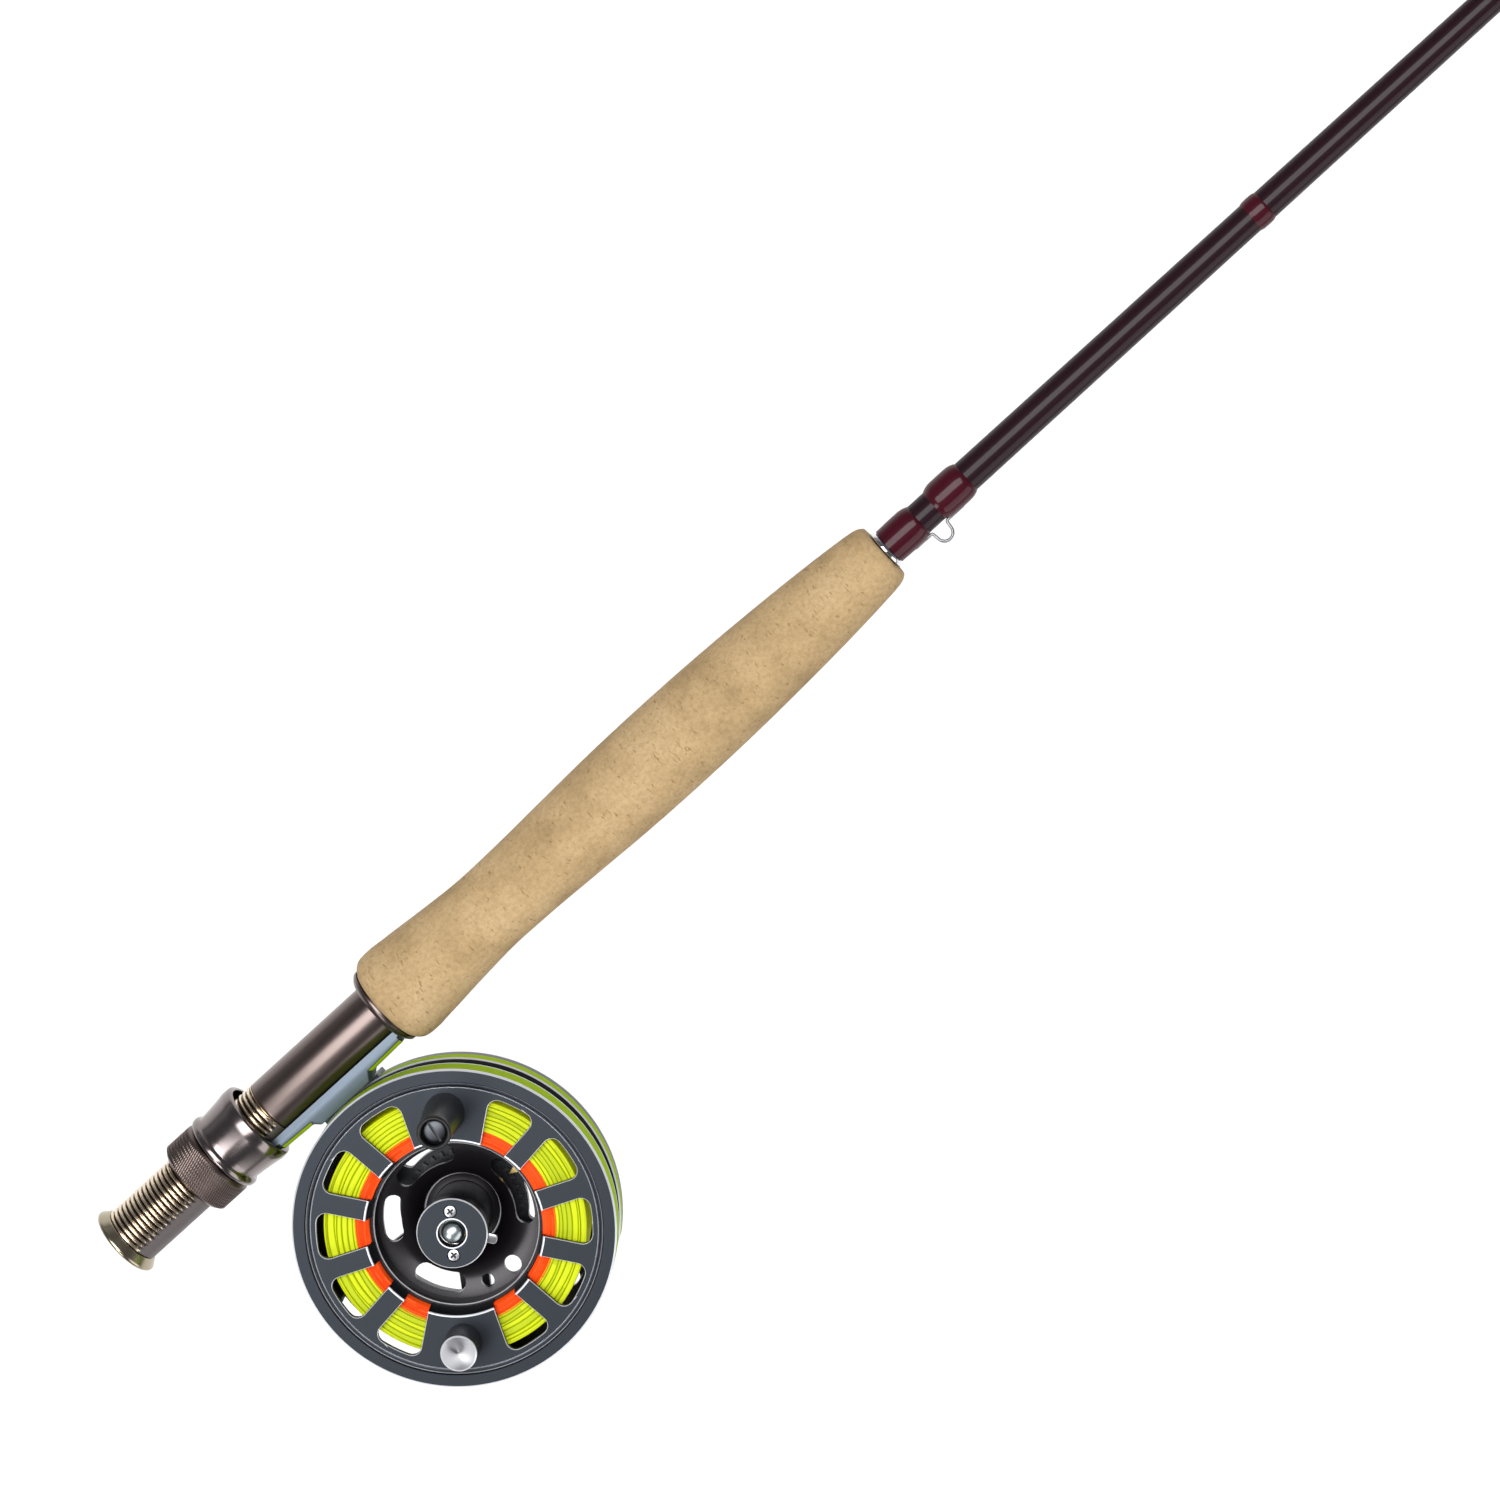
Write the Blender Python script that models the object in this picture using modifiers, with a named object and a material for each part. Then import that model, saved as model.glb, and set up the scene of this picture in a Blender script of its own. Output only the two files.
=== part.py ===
"""A nine-foot, four-piece fly rod with a large-arbor reel on its seat.

+X runs along the rod from its butt end to its tip, and the origin is the middle of the butt cap's
end face. The reel hangs on the -Y side, its spool axis runs along Z, and +Z is its handle side.
Sizes are in metres. Each piece is one object, and nested pieces share the same few sizes.
"""

import math

import bmesh
import bpy
from mathutils import Matrix, Vector

# Overall sizes
ROD_LENGTH = 2.743
SEAT_LENGTH = 0.0985
GRIP_LENGTH = 0.180
GRIP_END = SEAT_LENGTH + GRIP_LENGTH
REEL_RADIUS = 0.0435
RIM_FRONT_Z = 0.014

# Gaps between neighbouring pieces
GAP = 0.0003
RUNNING_GAP = 0.0002
FERRULE_GAP = 0.00015

# Places along the blank past the grip are those of a nine-foot rod, and stretch with its length
STRETCH = ROD_LENGTH / 2.743

# Blank: distance from the butt end, and outer radius there, as it tapers to the tip
BLANK_START = 0.0085
TAPER = [
    (BLANK_START, 0.00475),
    (GRIP_END + 0.0020, 0.00450),
    (GRIP_END + 0.0290, 0.00445),
    (0.4900 * STRETCH, 0.00398),
    (0.7000 * STRETCH, 0.00342),
    (1.3800 * STRETCH, 0.00245),
    (2.0600 * STRETCH, 0.00160),
    (ROD_LENGTH, 0.00088),
]
WALL_SHARE = 0.26
FERRULE_STARTS = [0.668 * STRETCH, 1.350 * STRETCH, 2.032 * STRETCH]
FERRULE_LENGTH = 0.045
FERRULE_WALL = 0.0007
FERRULE_BLEND = 0.035
FERRULE_WRAP_LENGTH = 0.024
WRAP_THICKNESS = 0.00045

# Reel seat: its thread, and what slides over it and stands off from it
THREAD_RADIUS = 0.0084
THREAD_END = 0.056
THREAD_PITCH = 0.0015
BARREL_STEP = 0.0001
BARREL_RADIUS = THREAD_RADIUS - BARREL_STEP
CAP_FLANGE = 0.0020
CAP_RADIUS = BARREL_RADIUS + CAP_FLANGE
CAP_LENGTH = 0.0035
LOCK_RING_START = 0.0265
LOCK_RING_LENGTH = 0.010
LOCK_RING_HEIGHT = 0.00295
LOCK_RING_RADIUS = THREAD_RADIUS + LOCK_RING_HEIGHT
HOOD_LENGTH = 0.0145
HOOD_SEAT_DEPTH = 0.0034
FOOT_ROOM = 0.0019
HOOD_BORE = THREAD_RADIUS + FOOT_ROOM
HOOD_WALL = 0.0016
HOOD_RADIUS = HOOD_BORE + HOOD_WALL
FIXED_HOOD_WALL = 0.0015
FIXED_HOOD_RADIUS = HOOD_BORE + FIXED_HOOD_WALL
FIXED_HOOD_LIP = 0.0023
FIXED_HOOD_START = SEAT_LENGTH - FIXED_HOOD_LIP
FIXED_HOOD_LENGTH = 0.0120

# Guides: distance from the tip of a nine-foot rod, half-length of the loop, height of the loop
SNAKES = [
    (0.115, 0.0050, 0.0050),
    (0.245, 0.0053, 0.0053),
    (0.395, 0.0056, 0.0056),
    (0.565, 0.0060, 0.0060),
    (0.760, 0.0064, 0.0064),
    (0.985, 0.0068, 0.0068),
    (1.240, 0.0073, 0.0073),
    (1.520, 0.0078, 0.0078),
]
STRIPPING_ABOVE_FERRULE = 0.107
STRIPPING_X = FERRULE_STARTS[0] + STRIPPING_ABOVE_FERRULE
STRIPPING_HEIGHT = 0.0125
STRIPPING_RING = 0.0050
SNAKE_WIRE = 0.00038
TIP_RING = 0.0030
KEEPER_ABOVE_GRIP = 0.0150
KEEPER_X = GRIP_END + KEEPER_ABOVE_GRIP
TRIM_ABOVE_GRIP = 0.1279
TRIM_LENGTH = 0.0050

# Spindle, and the post, bearings and latch round it
SPINDLE_RADIUS = 0.0031
SPINDLE_GROOVE = 0.0005
SPINDLE_CORE = SPINDLE_RADIUS - SPINDLE_GROOVE
BEARING_WALL = 0.0017
NECK_BORE = SPINDLE_RADIUS + RUNNING_GAP + BEARING_WALL + RUNNING_GAP
NECK_WALL = 0.0009
NECK_RADIUS = NECK_BORE + NECK_WALL
NECK_CLEARANCE = 0.0005
POST_BORE = NECK_RADIUS + NECK_CLEARANCE
POST_WALL = 0.0014
POST_RADIUS = POST_BORE + POST_WALL
POST_TOP = 0.0008
POST_ROOF = 0.0028
HUB_CAP_OVERHANG = 0.0015
HUB_CAP_RADIUS = POST_RADIUS + HUB_CAP_OVERHANG
HUB_CAP_TOP = 0.0042
CAP_SCREW_OFFSET = 0.00285
CAP_SCREW_RADIUS = SPINDLE_RADIUS + CAP_SCREW_OFFSET
FLOOR_LEDGE = 0.0024
FLOOR_RADIUS = POST_RADIUS + FLOOR_LEDGE

# Reel, as distances behind the front of the spool's rim
SKIRT_DEPTH = 0.0096
RIM_WALL = 0.0022
RIM_WIDTH = 0.0046
FACE_RECESS = 0.0008
FACE_THICKNESS = 0.0018
ARBOR_RADIUS = 0.0238
ARBOR_WALL = 0.0017
SPOOL_WIDTH = 0.0224
FLANGE_CLEARANCE = 0.0006
REAR_FLANGE_RADIUS = REEL_RADIUS - RIM_WALL - FLANGE_CLEARANCE
REAR_FLANGE_THICKNESS = 0.0014
WEB_THICKNESS = 0.0015
WEB_INSET = 0.0009
FLOOR_DEPTH = SPOOL_WIDTH - WEB_INSET
BOWL_DEPTH = 0.0123
FRAME_FRONT = 0.0148
PLATE_THICKNESS = 0.0025
PLATE_CLEARANCE = 0.0021
FRAME_DEPTH = SPOOL_WIDTH + PLATE_CLEARANCE + PLATE_THICKNESS
CUP_BORE = 0.0135
CUP_WALL = 0.0023
CUP_RADIUS = CUP_BORE + CUP_WALL
CUP_DEPTH = 0.0060
CUP_BACK = FRAME_DEPTH + CUP_DEPTH
CUP_FLOOR = 0.0015
BACKING_DEPTH = 0.0028
BACKING_RADIUS = ARBOR_RADIUS + BACKING_DEPTH

# Reel, round its axis
HANDLE_AZIMUTH = 51.5
HANDLE_INSET = 0.0119
HANDLE_RADIUS = REEL_RADIUS - HANDLE_INSET
WEIGHT_INSET = 0.0125
WEIGHT_RADIUS = REEL_RADIUS - WEIGHT_INSET
WINDOW_PITCH = 30.0
WINDOW_IN = ARBOR_RADIUS + GAP
WINDOW_MARGIN = 0.0019
WINDOW_OUT = REEL_RADIUS - RIM_WIDTH - WINDOW_MARGIN
SPOKE_WIDTH = 0.0055
LINE_BELOW_WINDOW = 0.0018
LINE_RADIUS = WINDOW_OUT - LINE_BELOW_WINDOW
KNOB_HEIGHT = 0.0228
WEIGHT_HEIGHT = 0.0108
LATCH_AZIMUTH = -55.0
GEAR_TEETH = 36
GEAR_LEDGE = 0.0017
GEAR_ROOT = CUP_BORE + GEAR_LEDGE
TOOTH_HEIGHT = 0.0013
GEAR_RADIUS = GEAR_ROOT + TOOTH_HEIGHT
PAWL_STANDOFF = 0.0040
PAWL_RADIUS = GEAR_RADIUS + PAWL_STANDOFF
PAWL_AZIMUTH = -5.0

# Foot: its legs reach into both hoods, and its stem carries the reel
FOOT_START = LOCK_RING_START + LOCK_RING_LENGTH + GAP + HOOD_SEAT_DEPTH + 0.0018
FOOT_END = FIXED_HOOD_START + FIXED_HOOD_LENGTH - 0.0032
FOOT_HALF_WIDTH = 0.0060
STEM_HALF_LENGTH = 0.00975
STEM_HEIGHT = 0.0037
STEM_BACK = THREAD_RADIUS + STEM_HEIGHT
PAD_THICKNESS = 0.0024
FOOT_SCREW_X = 0.0055
REEL_BEHIND_HOOD = 0.031
REEL_X = FOOT_START + REEL_BEHIND_HOOD
REEL_Y = -(REEL_RADIUS + STEM_BACK + RUNNING_GAP)

ROD_SIDES = 20
WRAP_SIDES = 10
REEL_SIDES = 40
SMALL_SIDES = 24


def clear_scene():
    for obj in list(bpy.data.objects):
        bpy.data.objects.remove(obj, do_unlink=True)
    parts = bpy.data.collections.new("fly_rod_and_reel")
    cutters = bpy.data.collections.new("cutters")
    for collection in (parts, cutters):
        bpy.context.scene.collection.children.link(collection)
    cutters.hide_render = True
    return parts, cutters


PARTS, CUTTERS = clear_scene()


def material(name, colour, roughness, metallic):
    made = bpy.data.materials.new(name)
    made.use_nodes = True
    shader = made.node_tree.nodes["Principled BSDF"]
    shader.inputs["Base Color"].default_value = (*colour, 1)
    shader.inputs["Roughness"].default_value = roughness
    shader.inputs["Metallic"].default_value = metallic
    return made


BRONZE = material("bronze_seat", (0.105, 0.080, 0.075), 0.30, 1.0)
CORK = material("cork", (0.60, 0.40, 0.19), 0.85, 0.0)
BLANK = material("blank_burgundy", (0.020, 0.004, 0.010), 0.12, 0.0)
WRAP = material("wrap_burgundy", (0.15, 0.005, 0.02), 0.10, 0.0)
CHROME = material("polished_steel", (0.75, 0.76, 0.78), 0.12, 1.0)
GUNMETAL = material("gunmetal", (0.065, 0.075, 0.090), 0.40, 0.9)
FOOT_GREY = material("foot_grey", (0.17, 0.21, 0.25), 0.42, 0.9)
BLACK_ALLOY = material("black_alloy", (0.015, 0.015, 0.018), 0.25, 0.8)
BLACK_PLASTIC = material("black_plastic", (0.012, 0.012, 0.014), 0.35, 0.0)
BRASS = material("brass", (0.60, 0.42, 0.16), 0.30, 1.0)
FRICTION = material("drag_cork", (0.35, 0.22, 0.11), 0.90, 0.0)
LINE = material("fly_line", (0.78, 0.85, 0.01), 0.45, 0.0)
BACKING = material("backing", (0.95, 0.14, 0.01), 0.60, 0.0)

ALONG_X = Matrix.Rotation(math.pi / 2, 4, "Y")
ALONG_Y = Matrix.Rotation(-math.pi / 2, 4, "X")
ALONG_Z = Matrix.Identity(4)
ROD = ALONG_X
REEL = Matrix.Translation((REEL_X, REEL_Y, RIM_FRONT_Z))


def on_reel(radius, azimuth, depth=0.0):
    """A frame on the reel at this radius and azimuth, its local +X pointing away from the spool axis."""
    turn = Matrix.Rotation(math.radians(azimuth), 4, "Z")
    return REEL @ turn @ Matrix.Translation((radius, 0, -depth))


def add(name, mesh, matrix, look, cutter=False):
    obj = bpy.data.objects.new(name, mesh)
    obj.matrix_world = matrix
    (CUTTERS if cutter else PARTS).objects.link(obj)
    if look is not None:
        mesh.materials.append(look)
    if cutter:
        obj.hide_render = True
        obj.display_type = "WIRE"
    return obj


def clockwise(profile):
    """The profile in the direction that makes a Screw's faces point out."""
    following = profile[1:] + profile[:1]
    area = sum(a[0] * b[1] - b[0] * a[1] for a, b in zip(profile, following))
    return profile if area < 0 else profile[::-1]


def turned(name, profile, matrix, look, sides=SMALL_SIDES, cutter=False):
    """A turned solid. The profile is (radius, height) points, closed, or ending on the axis."""
    profile = clockwise(profile)
    solid_core = min(radius for radius, _ in profile) == 0
    if solid_core:
        while not (profile[0][0] == 0 and profile[-1][0] == 0):
            profile = profile[1:] + profile[:1]
    mesh = bpy.data.meshes.new(name)
    edit = bmesh.new()
    points = [edit.verts.new((radius, 0, height)) for radius, height in profile]
    for first, second in zip(points, points[1:]):
        edit.edges.new((first, second))
    if not solid_core:
        edit.edges.new((points[-1], points[0]))
    edit.to_mesh(mesh)
    edit.free()
    obj = add(name, mesh, matrix, look, cutter)
    screw = obj.modifiers.new("turn", "SCREW")
    screw.steps = screw.render_steps = sides
    screw.use_merge_vertices = solid_core
    screw.merge_threshold = 0.00001
    screw.use_smooth_shade = False
    return obj


def ring(name, inner, outer, low, high, matrix, look, sides=SMALL_SIDES, cutter=False):
    profile = [(inner, high), (outer, high), (outer, low), (inner, low)]
    return turned(name, profile, matrix, look, sides, cutter)


def mesh_of(curve_object):
    """The curve's mesh with its caps welded. The curve object is removed."""
    graph = bpy.context.evaluated_depsgraph_get()
    mesh = bpy.data.meshes.new_from_object(curve_object.evaluated_get(graph))
    bpy.data.objects.remove(curve_object)
    edit = bmesh.new()
    edit.from_mesh(mesh)
    bmesh.ops.remove_doubles(edit, verts=edit.verts, dist=0.000001)
    bmesh.ops.recalc_face_normals(edit, faces=edit.faces)
    edit.to_mesh(mesh)
    edit.free()
    mesh.materials.clear()
    return mesh


def prism(name, outlines, low, high, matrix, look, cutter=False):
    """Flat outlines, each a list of (x, y), made thick from low to high along local Z."""
    curve = bpy.data.curves.new(name, "CURVE")
    curve.dimensions = "2D"
    curve.fill_mode = "BOTH"
    curve.extrude = (high - low) / 2
    for outline in outlines:
        spline = curve.splines.new("POLY")
        spline.points.add(len(outline) - 1)
        spline.use_cyclic_u = True
        for point, (x, y) in zip(spline.points, outline):
            point.co = (x, y, 0, 1)
    flat = bpy.data.objects.new(name, curve)
    CUTTERS.objects.link(flat)
    bpy.context.view_layer.update()
    placed = matrix @ Matrix.Translation((0, 0, (high + low) / 2))
    return add(name, mesh_of(flat), placed, look, cutter)


def wire(name, points, radius, look, cutter=False, closed=False):
    """A round wire through the points, in world space."""
    curve = bpy.data.curves.new(name, "CURVE")
    curve.dimensions = "3D"
    curve.bevel_depth = radius
    curve.bevel_resolution = 1
    curve.use_fill_caps = True
    spline = curve.splines.new("POLY")
    spline.points.add(len(points) - 1)
    spline.use_cyclic_u = closed
    for point, place in zip(spline.points, points):
        point.co = (*place, 1)
    round_wire = bpy.data.objects.new(name, curve)
    CUTTERS.objects.link(round_wire)
    bpy.context.view_layer.update()
    return add(name, mesh_of(round_wire), Matrix.Identity(4), look, cutter)


def block(name, size, matrix, look, cutter=False):
    """A box of this size, centred on the matrix."""
    mesh = bpy.data.meshes.new(name)
    edit = bmesh.new()
    bmesh.ops.create_cube(edit, size=1, matrix=Matrix.Diagonal((*size, 1)))
    edit.to_mesh(mesh)
    edit.free()
    return add(name, mesh, matrix, look, cutter)


def combine(obj, other, operation):
    modifier = obj.modifiers.new(other.name, "BOOLEAN")
    modifier.operation = operation
    modifier.solver = "EXACT"
    modifier.object = other


def cut(obj, *cutters):
    for cutter in cutters:
        combine(obj, cutter, "DIFFERENCE")


def join(obj, *helpers):
    for helper in helpers:
        combine(obj, helper, "UNION")


def polar(radius, degrees):
    return radius * math.cos(math.radians(degrees)), radius * math.sin(math.radians(degrees))


def rounded(corners, radius, steps=2):
    """The outline through the corners, each rounded to the radius."""
    outline = []
    for index, corner in enumerate(corners):
        here = Vector(corner)
        before = (Vector(corners[index - 1]) - here).normalized()
        after = (Vector(corners[(index + 1) % len(corners)]) - here).normalized()
        half_angle = before.angle(after) / 2
        start = here + before * (radius / math.tan(half_angle))
        centre = here + (before + after).normalized() * (radius / math.sin(half_angle))
        end = here + after * (radius / math.tan(half_angle))
        first, last = start - centre, end - centre
        sweep = first.angle_signed(last)
        for step in range(steps + 1):
            turn = Matrix.Rotation(-sweep * step / steps, 2)
            outline.append(tuple(centre + turn @ first))
    return outline


def trapezoid(azimuth, inner, outer, pitch, spoke, corner, steps=2):
    """A window between two parallel-sided spokes, one pitch apart."""
    half = math.radians(pitch / 2)

    def side(radius, sign):
        lean = half - math.asin(spoke / 2 / radius)
        return azimuth + sign * math.degrees(lean)

    corners = [polar(inner, side(inner, -1)), polar(outer, side(outer, -1))]
    crown = outer / math.cos((half - math.asin(spoke / 2 / outer)) / 2)
    corners += [polar(crown, azimuth), polar(outer, side(outer, 1)), polar(inner, side(inner, 1))]
    return rounded(corners, corner, steps)


def kidney(azimuth, half_angle, radius, half_width, steps=6):
    """A curved slot round the axis, with round ends."""
    outline = []
    for step in range(steps + 1):
        angle = azimuth - half_angle + 2 * half_angle * step / steps
        outline.append(polar(radius + half_width, angle))
    end = Vector(polar(radius, azimuth + half_angle))
    outline.append(tuple(end + Vector(polar(half_width, azimuth + half_angle + 90))))
    for step in range(steps + 1):
        angle = azimuth + half_angle - 2 * half_angle * step / steps
        outline.append(polar(radius - half_width, angle))
    end = Vector(polar(radius, azimuth - half_angle))
    outline.append(tuple(end + Vector(polar(half_width, azimuth - half_angle - 90))))
    return outline


def circle(x, y, radius, sides=12):
    return [(x + a, y + b) for a, b in (polar(radius, 360 * k / sides) for k in range(sides))]


def blank_radius(x):
    """The tapering outer radius of the blank at a distance from the butt end."""
    for (x0, r0), (x1, r1) in zip(TAPER, TAPER[1:]):
        if x <= x1:
            return r0 + (r1 - r0) * (x - x0) / (x1 - x0)
    return TAPER[-1][1]


def stations(start, end):
    return [start] + [x for x, _ in TAPER if start < x < end] + [end]


def bore_radius(x):
    return blank_radius(x) * (1 - WALL_SHARE)


def make_blanks():
    """Four hollow sections. Each upper one slides over the end of the one below it."""
    ends = [start + FERRULE_LENGTH for start in FERRULE_STARTS] + [ROD_LENGTH - 0.002]
    first = [(blank_radius(x), x) for x in stations(BLANK_START, ends[0])]
    inner = [(bore_radius(x), x) for x in reversed(stations(BLANK_START, ends[0]))]
    turned("blank_section_1", first + inner, ROD, BLANK, ROD_SIDES)
    for index, start in enumerate(FERRULE_STARTS):
        socket_end = start + FERRULE_LENGTH + 2 * GAP
        blend_end = socket_end + FERRULE_BLEND
        sleeve = FERRULE_GAP + FERRULE_WALL
        outer = [(blank_radius(x) + sleeve, x) for x in (start, socket_end)]
        outer += [(blank_radius(x), x) for x in stations(blend_end, ends[index + 1])]
        inner = [(bore_radius(x), x) for x in reversed(stations(socket_end, ends[index + 1]))]
        inner += [(blank_radius(x) + FERRULE_GAP, x) for x in (socket_end, start)]
        turned(f"blank_section_{index + 2}", outer + inner, ROD, BLANK, ROD_SIDES)
        wrap_in = blank_radius(start) + sleeve + RUNNING_GAP
        wrap_start = start + 0.0008
        wrap_end = wrap_start + FERRULE_WRAP_LENGTH
        profile = [
            (wrap_in, wrap_start),
            (wrap_in + WRAP_THICKNESS, wrap_start),
            (wrap_in + WRAP_THICKNESS, wrap_end - 0.002),
            (wrap_in + WRAP_THICKNESS / 4, wrap_end),
            (wrap_in, wrap_end),
        ]
        turned(f"ferrule_wrap_{index + 1}", profile, ROD, WRAP, ROD_SIDES)


def sleeve(name, start, end, height, look, cutter=False, sides=WRAP_SIDES, full_start=False):
    """A thread wrap on the blank, thin at its ends and as thick as height in between."""
    inner = (blank_radius(start) + RUNNING_GAP) / math.cos(math.pi / sides)
    ramp = (end - start) * 0.25
    profile = [(inner, start), (inner + height, start + ramp), (inner + height, end - ramp)]
    profile += [(inner, end)]
    if full_start:
        profile[1] = (inner + height, start)
    return turned(name, profile, ROD, look, sides, cutter)


def make_snakes():
    foot = 0.0085
    points_in_loop = 8
    for index, (from_tip, half, height) in enumerate(SNAKES):
        x = ROD_LENGTH - from_tip * STRETCH
        surface = blank_radius(x) + RUNNING_GAP + SNAKE_WIRE
        path = [(x - half - foot, -surface, 0)]
        for step in range(points_in_loop + 1):
            t = step / points_in_loop
            rise = math.sin(math.pi * t) ** 0.8
            swing = 0.42 * height * math.sin(2 * math.pi * t)
            path.append((x - half + 2 * half * t, -surface - rise * height, swing))
        path.append((x + half + foot, -surface, 0))
        guide = wire(f"snake_guide_{index + 1}", path, SNAKE_WIRE, CHROME)
        for side, end in ((-1, "lower"), (1, "upper")):
            near, far = x + side * half, x + side * (half + foot + 0.002)
            wrap = sleeve(f"{end}_wrap_{index}", min(near, far), max(near, far), 0.00055, WRAP, True)
            join(guide, wrap)


def make_stripping_guide():
    """A ring on four legs, whose two feet are wrapped to the blank."""
    x = STRIPPING_X
    surface = blank_radius(x) + RUNNING_GAP + 0.0005
    axis_y = -surface - STRIPPING_HEIGHT
    place = Matrix.Translation((x, axis_y, 0)) @ ALONG_X
    tube = 0.0009
    section = [polar(tube, -360 * k / 8) for k in range(8)]
    outline = [(STRIPPING_RING + tube + a, b) for a, b in section]
    guide = turned("stripping_guide", outline, place, CHROME, SMALL_SIDES)
    reach = 0.012
    for side in (-1, 1):
        for lean in (-1, 1):
            hip = (x + side * 0.002, axis_y + 0.0015, lean * (STRIPPING_RING + tube * 1.1))
            ankle = (x + side * (reach - 0.002), -surface - 0.0003, lean * 0.0006)
            inside = (x, axis_y, lean * (STRIPPING_RING + tube * 1.1))
            toe = (x + side * (reach + 0.007), -surface, lean * 0.0003)
            leg = wire("stripping_leg", [inside, hip, ankle, toe], 0.0005, CHROME, True)
            join(guide, leg)
        near, far = x + side * (reach - 0.002), x + side * (reach + 0.009)
        join(guide, sleeve("stripping_wrap", min(near, far), max(near, far), 0.0008, WRAP, True))


def make_tip_top():
    tube_start = ROD_LENGTH - 0.011
    inner = blank_radius(tube_start) + FERRULE_GAP
    profile = [(0, ROD_LENGTH), (inner + 0.0004, ROD_LENGTH), (inner + 0.0004, tube_start)]
    profile += [(inner, tube_start), (inner, ROD_LENGTH - 0.0015), (0, ROD_LENGTH - 0.0015)]
    tip = turned("tip_top", profile, ROD, CHROME, WRAP_SIDES)
    centre = Vector((ROD_LENGTH - 0.0010, -inner - TIP_RING - 0.0001, 0))
    turn = Matrix.Rotation(math.radians(20), 4, "Z")
    section = [polar(0.00045, -360 * k / 6) for k in range(6)]
    outline = [(TIP_RING + a, b) for a, b in section]
    place = Matrix.Translation(centre) @ turn @ ALONG_X
    join(tip, turned("tip_loop", outline, place, CHROME, 16, True))


def make_keeper():
    """A wire loop for the fly's hook, its feet bound down by a wrap on each side."""
    wire_radius = 0.00042
    surface = blank_radius(KEEPER_X) + RUNNING_GAP + wire_radius
    half = 0.0024
    drop = 0.0042
    path = [(KEEPER_X - half - 0.006, -surface, 0), (KEEPER_X - half - 0.0006, -surface, 0)]
    for step in range(8):
        t = step / 7
        rise = math.sin(math.pi * t) ** 0.55
        path.append((KEEPER_X - half * math.cos(math.pi * t), -surface - rise * drop, 0))
    path += [(KEEPER_X + half + 0.0006, -surface, 0), (KEEPER_X + half + 0.006, -surface, 0)]
    keeper = wire("hook_keeper", path, wire_radius, CHROME)
    check_end = GRIP_END + 0.0018
    low, high = KEEPER_X - half - 0.0003, KEEPER_X + half + 0.0004
    lower = sleeve("lower_wrap", check_end, low, 0.00072, WRAP, True, ROD_SIDES, True)
    upper = sleeve("upper_wrap", high, KEEPER_X + 0.0140, 0.00080, WRAP, True, ROD_SIDES)
    join(keeper, lower, upper)
    trim = GRIP_END + TRIM_ABOVE_GRIP
    sleeve("trim_band", trim, trim + TRIM_LENGTH, 0.00030, WRAP, sides=ROD_SIDES)


def make_seat():
    cap = [(0, 0), (CAP_RADIUS - 0.0015, 0), (CAP_RADIUS - 0.0005, 0.0003)]
    cap += [(CAP_RADIUS, 0.0010), (CAP_RADIUS, 0.0017)]
    cap += [(BARREL_RADIUS + 0.0004, CAP_LENGTH - GAP), (TAPER[0][1] - 0.00005, CAP_LENGTH - GAP)]
    cap += [(TAPER[0][1] - 0.00005, BLANK_START - GAP), (0, BLANK_START - GAP)]
    turned("butt_cap", cap, ROD, BRONZE, 32)

    bore = TAPER[0][1] + GAP
    end = FIXED_HOOD_START + FIXED_HOOD_LENGTH - 0.0020
    barrel = [(bore, CAP_LENGTH), (THREAD_RADIUS, CAP_LENGTH), (THREAD_RADIUS, THREAD_END)]
    barrel += [(BARREL_RADIUS, THREAD_END + 0.0005), (BARREL_RADIUS, end), (bore, end)]
    turned("seat_barrel", barrel, ROD, BRONZE, 32)

    inner = THREAD_RADIUS + GAP
    start, stop = LOCK_RING_START, LOCK_RING_START + LOCK_RING_LENGTH
    lock = [(inner, start), (LOCK_RING_RADIUS - 0.0010, start), (LOCK_RING_RADIUS, start + 0.0009)]
    lock += [(LOCK_RING_RADIUS, stop - 0.0009), (LOCK_RING_RADIUS - 0.00075, stop), (inner, stop)]
    turned("lock_ring", lock, ROD, BRONZE, 32)

    start = stop + GAP
    stop = start + HOOD_LENGTH
    bead = HOOD_RADIUS - 0.0001
    hood = [(inner, start), (bead - 0.0008, start), (bead, start + 0.0007), (bead, start + 0.0020)]
    hood += [(bead - 0.0009, start + 0.0028), (HOOD_RADIUS, stop - 0.0030), (HOOD_RADIUS, stop - 0.0016)]
    hood += [(bead - 0.0009, stop), (HOOD_BORE, stop), (HOOD_BORE, start + HOOD_SEAT_DEPTH)]
    hood += [(inner, start + HOOD_SEAT_DEPTH)]
    turned("sliding_hood", hood, ROD, BRONZE, 32)

    start, stop = FIXED_HOOD_START, FIXED_HOOD_START + FIXED_HOOD_LENGTH
    lip = SEAT_LENGTH
    fixed = [(HOOD_BORE, start), (FIXED_HOOD_RADIUS - 0.0010, start), (FIXED_HOOD_RADIUS, start + 0.0012)]
    fixed += [(FIXED_HOOD_RADIUS, lip - GAP), (HOOD_BORE + 0.0007, lip - GAP)]
    fixed += [(HOOD_BORE + 0.0007, stop), (bore, stop), (bore, stop - 0.0017)]
    fixed += [(HOOD_BORE, stop - 0.0017)]
    turned("fixed_hood", fixed, ROD, BRONZE, 32)


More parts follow.
